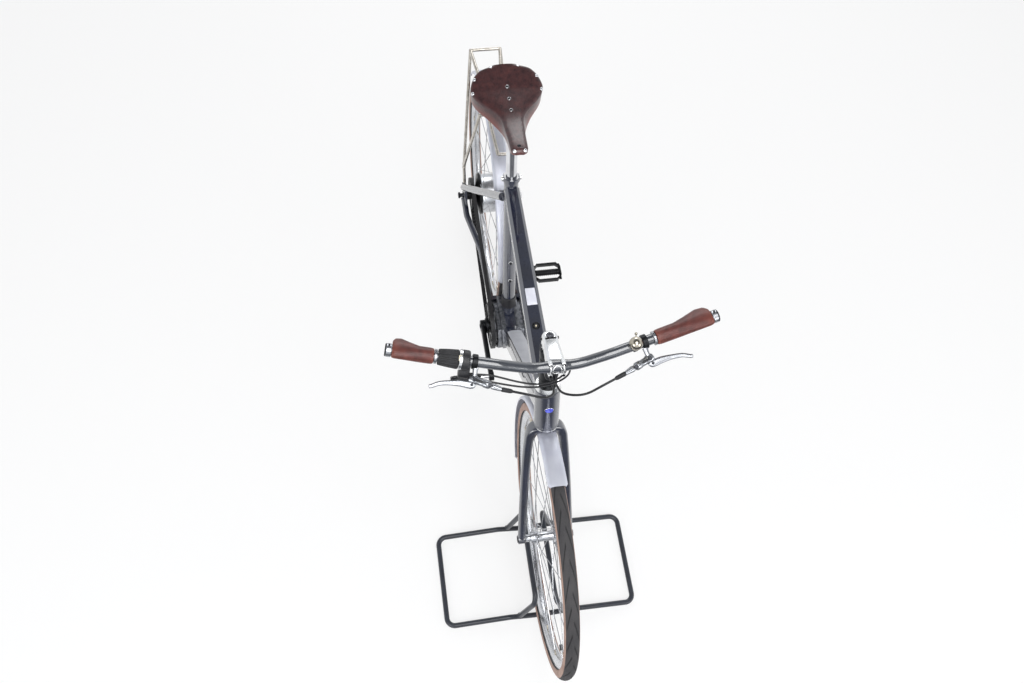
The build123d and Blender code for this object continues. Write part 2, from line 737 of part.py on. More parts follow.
# ---- frame ----

gearbox_near = -belt_offset + belt_width / 2 + clearance + 1.0
gearbox_far = gearbox_near + gearbox_width
gearbox_rear = gearbox_ahead - gearbox_length / 2
gearbox_front = gearbox_ahead + gearbox_length / 2
gearbox_top = gearbox_depth / 2 - 4
gearbox_low = -gearbox_depth / 2 - 4
wall = 8.0
yoke_half = down_tube_width / 2 + 1.0


def around_bracket(outline):
    """Move an outline drawn about the crank axle to its place."""
    return [(bracket_point.X + x, bracket_point.Z + z) for x, z in outline]


gearbox_outline = around_bracket([
    (gearbox_rear, -8), (gearbox_rear + 8, gearbox_top - 18), (gearbox_rear + 40, gearbox_top),
    (gearbox_front - 22, gearbox_top), (gearbox_front, gearbox_top - 24), (gearbox_front - 4, -18),
    (gearbox_front - 28, gearbox_low), (gearbox_rear + 42, gearbox_low), (gearbox_rear + 14, gearbox_low + 18)])
yoke_outline = around_bracket([
    (gearbox_rear - wall, -12), (gearbox_rear - wall + 8, gearbox_top - 12),
    (gearbox_rear + 36, gearbox_top + wall), (gearbox_front - 18, gearbox_top + wall),
    (gearbox_front + wall, gearbox_top - 20), (gearbox_front + wall - 2, -4)])

with BuildPart() as gearbox:
    side_plate(gearbox_outline, gearbox_near, gearbox_far)
    rib_pitch = 12.0
    for rib in range(6):
        rib_side = gearbox_near + 10 + rib * rib_pitch
        low_edge = bracket_point.Z + gearbox_low
        with Locations((bracket_point.X, rib_side + rib_pitch / 4, low_edge)):
            Box(gearbox_length - 90, rib_pitch / 2, 12, mode=Mode.SUBTRACT)
    crosswise(bracket_point, crank_axle_radius + 4, gearbox_near - 5, gearbox_far + 5, mode=Mode.SUBTRACT)
    crosswise(bracket_point, crank_axle_radius + 4, gearbox_near, gearbox_far)
    crosswise(bracket_point, crank_axle_radius + running_gap, gearbox_near - 5, gearbox_far + 5,
              mode=Mode.SUBTRACT)
write(gearbox, "gearbox")

with BuildPart() as yoke_block:
    side_plate(yoke_outline, -yoke_half, yoke_half)
    side_plate(around_bracket([(gearbox_rear - wall, -8), (gearbox_rear - wall + 6, 44),
                               (gearbox_rear - wall + 17, 44), (gearbox_rear - wall + 11, -8)]), -49, 49)
    side_plate(gearbox_outline, gearbox_near - 0.5, gearbox_far + 0.5)

with BuildPart() as frame_yoke:
    add(yoke_block.part)
    side_plate(gearbox_outline, gearbox_near - 20, gearbox_far + 20, mode=Mode.SUBTRACT)
write(frame_yoke, "frame_yoke")

with BuildPart() as seat_tube:
    rod(seat(30), seat(seat_tube_length), seat_tube_radius)
    add(yoke_block.part, mode=Mode.SUBTRACT)
    rod(seat(seat_tube_length - 130), seat(seat_tube_length + 5), post_radius, mode=Mode.SUBTRACT)
    for boss in (boss_height, boss_height + boss_pitch):
        rod(seat(boss, seat_tube_radius - 10), seat(boss, seat_tube_radius + 10), 2.5, mode=Mode.SUBTRACT)
write(seat_tube, "seat_tube")

with BuildPart() as head_tube:
    rod(steer(head_bottom), steer(head_top), head_tube_radius)
    rod(steer(head_bottom - 5), steer(head_top + 5), steerer_radius + running_gap, mode=Mode.SUBTRACT)
write(head_tube, "head_tube")

down_start = bracket_point + Vector(30, 0, 9)
down_end = steer(head_bottom + 62)
down_run = down_end - down_start
down_up = Vector(-down_run.Z, 0, down_run.X).normalized()
with BuildPart() as head_room:
    rod(steer(head_bottom - 60), steer(head_top + 60), head_tube_radius)

with BuildPart() as down_tube:
    with BuildSketch(Plane(origin=down_start, x_dir=(0, 1, 0), z_dir=down_run)) as down_section:
        RectangleRounded(down_tube_width, down_tube_depth, 13)
    extrude(down_section.sketch, amount=down_run.length)
    add(head_room.part, mode=Mode.SUBTRACT)
    add(yoke_block.part, mode=Mode.SUBTRACT)
    add(seat_tube.part, mode=Mode.SUBTRACT)
write(down_tube, "down_tube")

top_start = seat(seat_tube_length - 23)
top_end = steer(head_top - 36)
top_run = top_end - top_start


def bevelled(width, depth):
    """Tube outline with a flat top, bevelled shoulders and a narrower foot."""
    half = width / 2
    up = depth / 2
    return [(-half * 0.62, up), (half * 0.62, up), (half, up - 7), (half, 4 - up), (half - 7, -up),
            (7 - half, -up), (-half, 4 - up), (-half, up - 7)]


with BuildPart() as top_tube:
    with BuildSketch(Plane(origin=top_start, x_dir=(0, 1, 0), z_dir=top_run)) as rear_section:
        Polygon(*bevelled(top_tube_rear_width, top_tube_depth - 2), align=None)
    with BuildSketch(Plane(origin=top_end, x_dir=(0, 1, 0), z_dir=top_run)) as front_section:
        Polygon(*bevelled(top_tube_front_width, top_tube_depth), align=None)
    loft([rear_section.sketch, front_section.sketch])
    add(head_room.part, mode=Mode.SUBTRACT)
    rod(seat(seat_tube_length - 200), seat(seat_tube_length + 60), seat_tube_radius, mode=Mode.SUBTRACT)
    add(down_tube.part, mode=Mode.SUBTRACT)
write(top_tube, "top_tube")

panel_start = 107.0
panel_end = down_run.length - 62
with BuildPart() as battery_cover:
    way = down_run.normalized()
    face_plane = Plane(origin=down_start + way * ((panel_start + panel_end) / 2)
                       + down_up * (down_tube_depth / 2), x_dir=way, z_dir=down_up)
    with BuildSketch(face_plane) as cover:
        Rectangle(panel_end - panel_start, panel_width)
        with Locations(((panel_start - panel_end) / 2, 0)):
            Ellipse(14, panel_width / 2)
    extrude(cover.sketch, amount=panel_thickness)
write(battery_cover, "battery_cover")

dropout_inner = rear_hub_width / 2
dropout_thickness = 8.0
stay_side = dropout_inner + 7.5
lug_rise = 44.0

bridge_radius = 7.0
bridge_reach = fender_radius + fender_thickness + bridge_radius + 3.0

with BuildPart() as seat_stays:
    ends = {}
    for side in (1, -1):
        low_end = rear_axle_point + Vector(5, side * (stay_side + 1), lug_rise)
        high_end = seat(seat_tube_length - 56, -8, side * 19)
        taper(low_end, high_end, stay_radius + 1, stay_radius + 2)
        low_reach = Vector(low_end.X - rear_axle_point.X, 0, low_end.Z - rear_axle_point.Z).length
        high_reach = Vector(high_end.X - rear_axle_point.X, 0, high_end.Z - rear_axle_point.Z).length
        share = (bridge_reach - low_reach) / (high_reach - low_reach)
        ends[side] = low_end + (high_end - low_end) * share
    rod(ends[-1], ends[1], bridge_radius)
    rod(seat(seat_tube_length - 130), seat(seat_tube_length + 5), seat_tube_radius, mode=Mode.SUBTRACT)
write(seat_stays, "seat_stays")

with BuildPart() as chain_stays:
    for side in (1, -1):
        bent_tube([rear_axle_point + Vector(8, side * stay_side, -6),
                   rear_axle_point + Vector(68, side * (stay_side - 1), -10),
                   rear_axle_point + Vector(184, side * 46, -25),
                   bracket_point + Vector(gearbox_rear - wall + 4, side * 40, 17)], 60, stay_radius)
        near, far = sorted((side * dropout_inner, side * (dropout_inner + dropout_thickness)))
        crosswise(rear_axle_point, 15, near, far)
        side_plate([(rear_axle_point.X - 12, rear_axle_point.Z + 5),
                    (rear_axle_point.X + 4, rear_axle_point.Z - 14),
                    (rear_axle_point.X + 44, rear_axle_point.Z - 14),
                    (rear_axle_point.X + 20, rear_axle_point.Z + lug_rise),
                    (rear_axle_point.X - 8, rear_axle_point.Z + lug_rise + 6)], near, far)
    crosswise(rear_axle_point, axle_radius, -100, 100, mode=Mode.SUBTRACT)
    crosswise(rear_axle_point, 20, -dropout_inner, dropout_inner, mode=Mode.SUBTRACT)
    add(yoke_block.part, mode=Mode.SUBTRACT)
    add(seat_stays.part, mode=Mode.SUBTRACT)
write(chain_stays, "chain_stays")

bridge_middle = (ends[-1] + ends[1]) * 0.5
bridge_way = (bridge_middle - rear_axle_point).normalized()
make_fender(rear_axle_point, 9, 148, bridge_middle, rear_axle_point + bridge_way * (fender_radius + 1),
            [seat_stays], "rear_fender")

with BuildPart() as rear_axle:
    crosswise(rear_axle_point, axle_radius, -dropout_inner - 18, dropout_inner + 18)
    for side in (1, -1):
        near, far = sorted((side * (dropout_inner + 18), side * (dropout_inner + 24)))
        crosswise(rear_axle_point, 10, near, far)
write(rear_axle, "rear_axle")

rear_caliper_way = Vector(cos(radians(28)), 0, sin(radians(28)))
make_caliper(rear_axle_point, rear_caliper_way, rear_disc_side, 44, dropout_inner, [chain_stays, seat_stays],
             "rear_caliper")

with BuildPart() as drive_belt:
    belt_near = -belt_offset - belt_width / 2
    front_pitch = front_sprocket_radius + contact_gap
    rear_pitch = rear_cog_radius + contact_gap
    for grow, mode in ((belt_thickness, Mode.ADD), (0.0, Mode.SUBTRACT)):
        front_r = front_pitch + grow
        rear_r = rear_pitch + grow
        gap = rear_axle_point - bracket_point
        span = sqrt(gap.X ** 2 + gap.Z ** 2)
        along = Vector(gap.X / span, 0, gap.Z / span)
        across = Vector(-along.Z, 0, along.X)
        lean = (front_r - rear_r) / span
        flat = sqrt(1 - lean ** 2)
        corners = []
        for sign in (1, -1):
            reach = along * lean + across * (sign * flat)
            corners.append((bracket_point + reach * front_r, rear_axle_point + reach * rear_r))
        loop_corners = [corners[0][0], corners[0][1], corners[1][1], corners[1][0]]
        side_plate([(p.X, p.Z) for p in loop_corners], belt_near, belt_near + belt_width, mode=mode)
        crosswise(bracket_point, front_r, belt_near, belt_near + belt_width, mode=mode)
        crosswise(rear_axle_point, rear_r, belt_near, belt_near + belt_width, mode=mode)
write(drive_belt, "drive_belt")

# ---- seat, rack ----

post_top = seat_tube_length + post_exposed
rail_side = 22.0
rail_radius = 3.5
rail_drop = -2.0
with BuildPart() as seat_clamp:
    rod(seat(seat_tube_length), seat(seat_tube_length + 13), seat_tube_radius + 3.5)
    clamp_plane = Plane(origin=seat(seat_tube_length + 0.5, 0), x_dir=(0, 1, 0), z_dir=seat_up)
    with BuildSketch(clamp_plane) as ears:
        RectangleRounded(50, 18, 6)
    extrude(ears.sketch, amount=12)
    rod(seat(seat_tube_length - 5), seat(seat_tube_length + 30), post_radius, mode=Mode.SUBTRACT)
write(seat_clamp, "seat_clamp")

post_head = seat(post_top)
rail_height = post_head.Z + 8
with BuildPart() as seatpost:
    rod(seat(seat_tube_length - 128), seat(post_top - 4), post_radius)
    crosswise(post_head, 11, -rail_side - 5, rail_side + 5)
    for side in (1, -1):
        with BuildLine() as groove:
            Line((post_head.X - 40, side * rail_side, rail_height), (post_head.X + 40, side * rail_side,
                                                                   rail_height))
        with BuildSketch(Plane(origin=groove.line @ 0, z_dir=groove.line % 0)) as groove_section:
            Circle(rail_radius)
        sweep(groove_section.sketch, path=groove.line, mode=Mode.SUBTRACT)
write(seatpost, "seatpost")

nose_x = post_head.X + 112
tail_x = nose_x - saddle_length
saddle_stations = [
    # share of the length from the nose, half width, skirt depth, top above the post head
    (0.00, 17, 17, 46), (0.06, 20, 20, 48), (0.28, 24, 26, 40), (0.50, 44, 38, 34), (0.76, 84, 42, 34),
    (0.90, 76, 32, 42), (1.00, 50, 20, 48)]


def saddle_sections(inset):
    """Cross sections of the saddle, each a rounded slab, shrunk by an even inset."""
    sections = []
    for share, half, depth, top in saddle_stations:
        station_x = nose_x - share * saddle_length
        scale = half / 84 * saddle_width / 168
        width = 2 * (84 * scale - inset)
        centre = Vector(station_x, 0, post_head.Z + top - depth / 2 - 2 * inset)
        with BuildSketch(Plane(origin=centre, x_dir=(0, 1, 0), z_dir=(1, 0, 0))) as section:
            RectangleRounded(width, depth, 8)
        sections.append(section.sketch)
    return sections


with BuildPart() as saddle_cover:
    loft(saddle_sections(0.0), ruled=True)
    inner_sections = saddle_sections(saddle_wall)
    loft(inner_sections[1:-1], ruled=True, mode=Mode.SUBTRACT)
write(saddle_cover, "saddle_cover")

with BuildPart() as saddle_rails:
    for side in (1, -1):
        bent_tube([Vector(tail_x + 26, side * 48, post_head.Z + 16), Vector(tail_x + 62, side * rail_side,
                                                                        rail_height),
                   Vector(post_head.X + 34, side * rail_side, rail_height),
                   Vector(nose_x - 22, side * 9, post_head.Z + 27)], 18, rail_radius)
    add(saddle_cover.part, mode=Mode.SUBTRACT)
write(saddle_rails, "saddle_rails")

rack_apex = rear_axle_point + Vector(-34, stay_side - 4, 97)
rack_rear = Vector(rear_axle_point.X - rack_tail, rack_half_width, rack_height)
rack_knee = Vector(rear_axle_point.X - rack_tail + 87, rack_half_width - 10, rack_height)
rack_side = Vector(rear_axle_point.X + 42, rack_half_width + 3, rack_height - 7)
rack_front = Vector(rear_axle_point.X + 176, 14, rack_height - 4)


def mirrored(point, side):
    return Vector(point.X, side * point.Y, point.Z)


with BuildPart() as rear_rack:
    for side in (1, -1):
        foot = rear_axle_point + Vector(-12, side * (dropout_inner + 4), lug_rise - 4)
        apex = mirrored(rack_apex, side)
        rod(foot, apex, rack_tube_radius)
        rod(apex, mirrored(rack_rear, side), rack_tube_radius)
        rod(apex, mirrored(rack_side, side), rack_tube_radius)
        bent_tube([mirrored(rack_rear, side), mirrored(rack_knee, side), mirrored(rack_front, side)], 60,
                  rack_tube_radius)
        for corner in (apex, mirrored(rack_rear, side), mirrored(rack_side, side)):
            with Locations(corner):
                Sphere(rack_tube_radius)
    rod(mirrored(rack_rear, -1), rack_rear, rack_tube_radius)
    rod(mirrored(rack_side, -1), rack_side, rack_tube_radius)
    rod(mirrored(rack_front, -1), rack_front, rack_tube_radius)
    for piece in (chain_stays, seat_stays):
        add(piece.part, mode=Mode.SUBTRACT)
write(rear_rack, "rear_rack")
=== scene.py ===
import json
import math

import bmesh
import bpy
import numpy as np
from mathutils import Matrix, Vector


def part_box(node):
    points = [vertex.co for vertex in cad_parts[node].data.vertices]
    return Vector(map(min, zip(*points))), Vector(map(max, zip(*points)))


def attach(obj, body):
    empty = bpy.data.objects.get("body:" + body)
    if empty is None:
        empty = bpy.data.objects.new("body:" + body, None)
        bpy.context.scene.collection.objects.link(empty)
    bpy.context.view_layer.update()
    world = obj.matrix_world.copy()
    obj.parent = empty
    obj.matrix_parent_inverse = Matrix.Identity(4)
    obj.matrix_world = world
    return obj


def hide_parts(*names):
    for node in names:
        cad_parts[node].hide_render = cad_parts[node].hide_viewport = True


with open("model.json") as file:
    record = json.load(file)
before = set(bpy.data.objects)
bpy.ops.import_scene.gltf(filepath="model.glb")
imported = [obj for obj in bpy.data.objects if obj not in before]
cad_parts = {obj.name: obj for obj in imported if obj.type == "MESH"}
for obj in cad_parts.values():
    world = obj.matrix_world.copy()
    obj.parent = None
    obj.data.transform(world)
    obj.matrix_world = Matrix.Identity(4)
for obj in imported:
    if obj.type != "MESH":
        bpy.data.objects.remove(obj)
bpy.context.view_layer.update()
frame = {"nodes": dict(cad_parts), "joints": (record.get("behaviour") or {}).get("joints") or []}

# City bicycle with its front wheel in a floor stand.  Shapes are worked out in millimetres, in the
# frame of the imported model: X forward, Y to the rider's left, Z up.

MM = 0.001


# ---------------------------------------------------------------- places taken from the frame

def middle(node):
    """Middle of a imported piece's box, in millimetres."""
    low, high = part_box(node)
    return np.array((low + high) / 2) / MM


FRONT = middle("front_rim")
REAR = middle("rear_rim")
BRACKET = middle("crankset")
WHEEL = (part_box("front_tyre")[1][2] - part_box("front_tyre")[0][2]) / 2 / MM
TYRE_HALF = (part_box("front_tyre")[1][1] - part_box("front_tyre")[0][1]) / 2 / MM
RIM = (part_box("front_rim")[1][2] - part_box("front_rim")[0][2]) / 2 / MM

steering = next(j for j in frame["joints"] if j["name"] == "steering")
UP = np.array(steering["axis"])
UP = UP / np.linalg.norm(UP)          # along the steering axis
OUT = np.array([UP[2], 0.0, -UP[0]])
SIDE = np.array([0.0, 1.0, 0.0])
LEVEL = np.array([1.0, 0.0, 0.0])
RISE = np.array([0.0, 0.0, 1.0])
RAKE = 50.0                           # how far the axle stands forward of the steering axis
SEAT_ANGLE = math.radians(75.1)       # the seat tube's, from level
SEAT_UP = np.array([-math.cos(SEAT_ANGLE), 0.0, math.sin(SEAT_ANGLE)])
SEAT_OUT = np.array([SEAT_UP[2], 0.0, -SEAT_UP[0]])


def steer(height, out=0.0, side=0.0):
    """Place by its height along the steering axis, how far it stands forward of it, and its side."""
    return FRONT + UP * height + OUT * (out - RAKE) + SIDE * side


def seat(height, out=0.0, side=0.0):
    """Place by its height along the seat tube, how far it stands forward of it, and its side."""
    return BRACKET + SEAT_UP * height + SEAT_OUT * out + SIDE * side


def unit(vector):
    """The direction of one vector, or of each row of several."""
    vector = np.asarray(vector, float)
    return vector / np.linalg.norm(vector, axis=-1, keepdims=True)


def turn(degrees, radius=1.0, level=0.0):
    """Places round an axle: by the angle from forwards, up and over, the distance from the axle, and
    the level to the left."""
    angle, radius, level = np.broadcast_arrays(np.radians(degrees), radius, level)
    return np.stack([np.cos(angle) * radius, level, np.sin(angle) * radius], -1)


# ---------------------------------------------------------------- surfaces

def skin(grid, wrap=False):
    """Shell of a grid of points (rows, columns, 3): each face joins a point to the next in its row and
    to the two opposite them in the next row.  A row always closes on itself; the last row joins the
    first if wrapped, and otherwise the first and last rows get a flat face each."""
    rows, columns = grid.shape[:2]
    row, column = np.meshgrid(np.arange(rows if wrap else rows - 1), np.arange(columns), indexing="ij")
    row_on, column_on = (row + 1) % rows, (column + 1) % columns
    faces = np.stack([row * columns + column, row * columns + column_on,
                      row_on * columns + column_on, row_on * columns + column], -1).reshape(-1, 4).tolist()
    if not wrap:
        faces += [list(range(columns))[::-1], list(range((rows - 1) * columns, rows * columns))]
    return grid.reshape(-1, 3), faces


def copies(shell, places, turns):
    """The same shell at many places: each copy is turned by its matrix, then moved."""
    points, faces = shell
    places = np.atleast_2d(places)
    moved = np.einsum("kij,nj->kni", turns, points) + places[:, None, :]
    shifted = [[index + copy * len(points) for index in face] for copy in range(len(places)) for face in faces]
    return moved.reshape(-1, 3), shifted


def facing(directions):
    """Matrices that turn Z to each direction and keep X as near to the left as they can."""
    over = unit(np.atleast_2d(directions))
    left = SIDE + (0.013, 0.0, 0.007)                 # so that it is never along a direction itself
    across = unit(np.cross(over, np.cross(np.broadcast_to(left, over.shape), over)))
    return np.stack([across, np.cross(over, across), over], -1)


def carried(path, section, hint, size=1.0, wrap=False):
    """Section (k, 2), or one for each station (m, k, 2), carried along a path: each point is the
    station plus its first number across the path and its second towards the hint."""
    path = np.asarray(path, float)
    if wrap:
        along = np.gradient(np.concatenate([path[-1:], path, path[:1]]), axis=0)[1:-1]
    else:
        along = np.gradient(path, axis=0)
    along = unit(along)
    across = unit(np.cross(along, np.broadcast_to(hint, along.shape)))
    over = np.cross(across, along)
    section = np.broadcast_to(section, (len(path),) + np.shape(section)[-2:])
    section = section * np.reshape(size, (-1, 1, 1))
    return skin(path[:, None] + across[:, None] * section[..., :1] + over[:, None] * section[..., 1:], wrap)


def ring(radius=1.0, other=None, count=24, power=2.0):
    """Closed outline: cosine and sine, each raised to 2/power, times two half widths."""
    angle = np.linspace(0, 2 * np.pi, count, endpoint=False)
    c, s = np.cos(angle), np.sin(angle)
    return np.stack([np.sign(c) * np.abs(c) ** (2 / power) * radius,
                     np.sign(s) * np.abs(s) ** (2 / power) * (radius if other is None else other)], -1)


def smooth(points, count):
    """Curve through points: on each run a cubic whose slopes at its ends are half the step from the
    point before to the point after (Catmull-Rom), sampled evenly."""
    points = np.asarray(points, float)
    ends = np.concatenate([2 * points[:1] - points[1:2], points, 2 * points[-1:] - points[-2:-1]])
    place = np.linspace(0, len(points) - 1, count)
    run = np.minimum(place.astype(int), len(points) - 2)
    t = (place - run)[:, None]
    a, b, c, d = ends[run], ends[run + 1], ends[run + 2], ends[run + 3]
    return 0.5 * (2 * b + (c - a) * t + (2 * a - 5 * b + 4 * c - d) * t ** 2
                  + (3 * b - a - 3 * c + d) * t ** 3)


def arced(corners, radius, steps, closed=False):
    """Bent bar's middle line: straight runs with an arc of the given radius inside each corner."""
    corners = np.asarray(corners, float)
    before, after = np.roll(corners, 1, 0), np.roll(corners, -1, 0)
    back, on = unit(before - corners), unit(after - corners)
    half = np.arccos(np.clip((back * on).sum(1), -1, 1)) / 2
    cut = np.asarray(radius, float) / np.tan(half)
    centre = corners + unit(back + on) * (np.asarray(radius, float) / np.sin(half))[:, None]
    share = np.linspace(0, 1, steps)[None, :, None]
    first, last = corners + back * cut[:, None], corners + on * cut[:, None]
    spoke = (first - centre)[:, None] * (1 - share) + (last - centre)[:, None] * share
    arcs = centre[:, None] + unit(spoke) * np.reshape(np.broadcast_to(radius, len(corners)), (-1, 1, 1))
    if closed:
        return arcs.reshape(-1, 3)
    return np.concatenate([corners[:1], arcs[1:-1].reshape(-1, 3), corners[-1:]])


def tube(path, radius, hint, sides, wrap=False):
    """Round bar along a path; the radius may change from station to station."""
    return carried(path, ring(count=sides), hint, radius, wrap)


def bar(start, end, radius, end_radius=None, sides=20, bevel=0.0):
    """Straight round bar, tapered if the end radius differs, with its rims bevelled."""
    start, end = np.asarray(start, float), np.asarray(end, float)
    end_radius = radius if end_radius is None else end_radius
    along, reach = unit(end - start), np.linalg.norm(end - start)
    edge = min(bevel, reach * 0.4)
    places, sizes = [0, reach], [radius, end_radius]
    if edge:
        places = [0, edge, reach - edge, reach]
        sizes = [radius - edge, radius, end_radius, end_radius - edge]
    path = start + along * np.array(places)[:, None]
    across = unit(np.cross(along, SIDE if abs(along[1]) < 0.9 else RISE))
    over = np.cross(across, along)
    section = ring(count=sides)
    return skin(path[:, None]
                + np.array(sizes)[:, None, None] * (across * section[:, :1] + over * section[:, 1:]))


def spun(centre, axis, profile, sides, closed=True, start=None):
    """Profile of (place along the axis, radius) pairs turned about an axis.  A closed profile comes
    back to its first point, so the shell is a ring; an open one is capped flat at both ends."""
    profile = np.asarray(profile, float)
    axis = unit(axis)
    hint = (RISE if abs(axis[2]) < 0.9 else LEVEL) if start is None else start
    across = unit(np.cross(axis, hint))
    over = np.cross(across, axis)
    angle = np.linspace(0, 2 * np.pi, sides, endpoint=False)
    way = across * np.cos(angle)[:, None] + over * np.sin(angle)[:, None]
    return skin(centre + axis * profile[:, None, :1] + way * profile[:, None, 1:], closed)


def knob(centre, radius):
    """Ball: radius times the sine of the angle from the top, with small flat faces at the poles."""
    angle = np.linspace(0.06, np.pi - 0.06, 9)
    return spun(centre, RISE, np.stack([-np.cos(angle), np.sin(angle)], -1) * radius, 16, closed=False)


def slab(outline, low, high, bevel, steps, origin, across=LEVEL, up=RISE):
    """Plate between two levels.  outline(inset) gives its edge, drawn in by that much; near the two
    levels the inset follows a quarter circle, so the edges are rounded."""
    arc = np.linspace(0, np.pi / 2, steps)
    inset, depth = bevel * (1 - np.sin(arc)), bevel * (1 - np.cos(arc))
    levels = np.concatenate([low + depth, (high - depth)[::-1]])
    edges = np.stack([outline(draw) for draw in np.concatenate([inset, inset[::-1]])])
    return skin(origin + edges[..., :1] * across + edges[..., 1:] * up
                + np.cross(across, up) * levels[:, None, None])


def shrunk(corners, inset, radius, steps=5):
    """Polygon drawn in by an inset, its corners rounded: each corner moves along its half angle."""
    corners = np.asarray(corners, float)
    back, on = unit(np.roll(corners, 1, 0) - corners), unit(np.roll(corners, -1, 0) - corners)
    turning = back[:, 0] * on[:, 1] - back[:, 1] * on[:, 0]
    area = np.sum(corners[:, 0] * np.roll(corners[:, 1], -1) - corners[:, 1] * np.roll(corners[:, 0], -1))
    half = np.arccos(np.clip((back * on).sum(1), -1, 1)) / 2
    bisector = unit(back + on)
    solid = (np.sign(turning) == -np.sign(area))[:, None]
    moved = corners + np.where(solid, 1, -1) * bisector * (inset / np.sin(half))[:, None]
    shorter = np.minimum(*(np.linalg.norm(np.roll(moved, step, 0) - moved, axis=1) for step in (1, -1)))
    rounding = np.minimum(radius, 0.4 * shorter * np.tan(half))
    flat = np.concatenate([moved, np.zeros((len(moved), 1))], 1)
    return arced(flat, np.maximum(rounding, 0.01), steps, closed=True)[:, :2]


def rounded(corners, radius, grow=0.0):
    """Edge of a slab: a polygon grown by a margin, drawn in by the slab's inset, its corners rounded."""
    return lambda inset: shrunk(corners, inset - grow, radius)


def oblong(half_across, half_up):
    """Four corners of an upright rectangle round the origin."""
    return [(-half_across, -half_up), (half_across, -half_up), (half_across, half_up), (-half_across, half_up)]


def together(*shells):
    """Several shells as one."""
    points, faces, offset = [], [], 0
    for shell_points, shell_faces in shells:
        points.append(np.asarray(shell_points, float).reshape(-1, 3))
        faces.extend([index + offset for index in face] for face in shell_faces)
        offset += len(points[-1])
    return np.concatenate(points), faces


# ---------------------------------------------------------------- finishes

def shade(code):
    """Linear colour of an sRGB hex code."""
    parts = np.array([int(code[i:i + 2], 16) for i in (1, 3, 5)]) / 255
    linear = np.where(parts <= 0.04045, parts / 12.92, ((parts + 0.055) / 1.055) ** 2.4)
    return (*linear.tolist(), 1.0)


def per(size):
    """Pattern scale, in repeats per metre, of something this many millimetres across."""
    return 1 / (size * MM)


def add(tree, kind, settings=(), values=(), links=(), stops=()):
    """One node with its settings, the values of its sockets, what feeds them, and its colour stops."""
    made = tree.nodes.new(kind)
    for key, value in dict(settings).items():
        setattr(made, key, value)
    for key, value in dict(values).items():
        made.inputs[key].default_value = value
    for key, source in dict(links).items():
        tree.links.new(source, made.inputs[key])
    for place, code in stops[2:]:
        made.color_ramp.elements.new(place)
    for (place, code), element in zip(stops, made.color_ramp.elements if stops else ()):
        element.position = place
        element.color = shade(code)
    return made


def surface(name, colour, other, roughness, grain, cloud, depth, spread=0.25, stretch=(1.0, 1.0, 1.0), **more):
    """Named material: its colour clouds between two tones (cloud, in millimetres), and a finer grain,
    drawn out along any axis whose stretch is below one, changes its gloss and raises it by a depth."""
    material = bpy.data.materials.new(name)
    material.use_nodes = True
    tree = material.node_tree
    shader = tree.nodes["Principled BSDF"]
    for key, value in more.items():
        shader.inputs[key.replace("_", " ")].default_value = value
    where = add(tree, "ShaderNodeTexCoord").outputs["Object"]
    drawn = add(tree, "ShaderNodeMapping", values={"Scale": stretch}, links={"Vector": where})
    fine = add(tree, "ShaderNodeTexNoise", values={"Scale": per(grain), "Detail": 3.0},
               links={"Vector": drawn.outputs["Vector"]})
    cloudy = add(tree, "ShaderNodeTexNoise", values={"Scale": per(cloud), "Detail": 5.0}, links={"Vector": where})
    tone = add(tree, "ShaderNodeValToRGB", links={"Fac": cloudy.outputs["Fac"]}, stops=((0.35, other), (0.62, colour)))
    gloss = add(tree, "ShaderNodeMapRange", links={"Value": fine.outputs["Fac"]}, values={
        "From Min": 0.3, "From Max": 0.7, "To Min": roughness * (1 - spread), "To Max": roughness * (1 + spread)})
    relief = add(tree, "ShaderNodeBump", values={"Strength": 0.5, "Distance": depth * MM},
                 links={"Height": fine.outputs["Fac"]})
    tree.links.new(tone.outputs["Color"], shader.inputs["Base Color"])
    tree.links.new(gloss.outputs["Result"], shader.inputs["Roughness"])
    tree.links.new(relief.outputs["Normal"], shader.inputs["Normal"])
    return material


def tinted(material, attribute, colour):
    """Turn a material's colour towards another one where an attribute of the mesh comes near one."""
    tree = material.node_tree
    base = tree.nodes["Principled BSDF"].inputs["Base Color"]
    share = add(tree, "ShaderNodeAttribute", {"attribute_name": attribute})
    mixed = add(tree, "ShaderNodeMix", {"data_type": "RGBA"}, {7: shade(colour)},
                {0: share.outputs["Fac"], 6: base.links[0].from_socket})
    tree.links.new(mixed.outputs[2], base)
    return material


def hide(name, colour, dark, pale, roughness, pore, crease, edge="#6a2d24", wax=0.3):
    """Vegetable-tanned leather: pebbled pores, soft creases, stains darker where it is handled; an
    attribute of the mesh, worn, turns it redder along its edges."""
    material = surface(name, colour, dark, roughness, pore, 40.0, 0.1, Coat_Weight=wax, Coat_Roughness=0.25)
    tree = material.node_tree
    shader = tree.nodes["Principled BSDF"]
    where = add(tree, "ShaderNodeTexCoord").outputs["Object"]
    cells = add(tree, "ShaderNodeTexVoronoi", {"feature": "DISTANCE_TO_EDGE"}, {"Scale": per(pore)}, {"Vector": where})
    folds = add(tree, "ShaderNodeTexNoise", values={"Scale": per(crease), "Detail": 6.0}, links={"Vector": where})
    tone = add(tree, "ShaderNodeValToRGB", links={"Fac": folds.outputs["Fac"]},
               stops=((0.3, dark), (0.5, colour), (0.72, pale)))
    wave = add(tree, "ShaderNodeBump", values={"Strength": 0.35, "Distance": 0.5 * MM},
               links={"Height": folds.outputs["Fac"]})
    pebble = add(tree, "ShaderNodeBump", values={"Strength": 0.5, "Distance": 0.15 * MM},
                 links={"Height": cells.outputs["Distance"], "Normal": wave.outputs["Normal"]})
    tree.links.new(tone.outputs["Color"], shader.inputs["Base Color"])
    tree.links.new(pebble.outputs["Normal"], shader.inputs["Normal"])
    return tinted(material, "worn", edge)


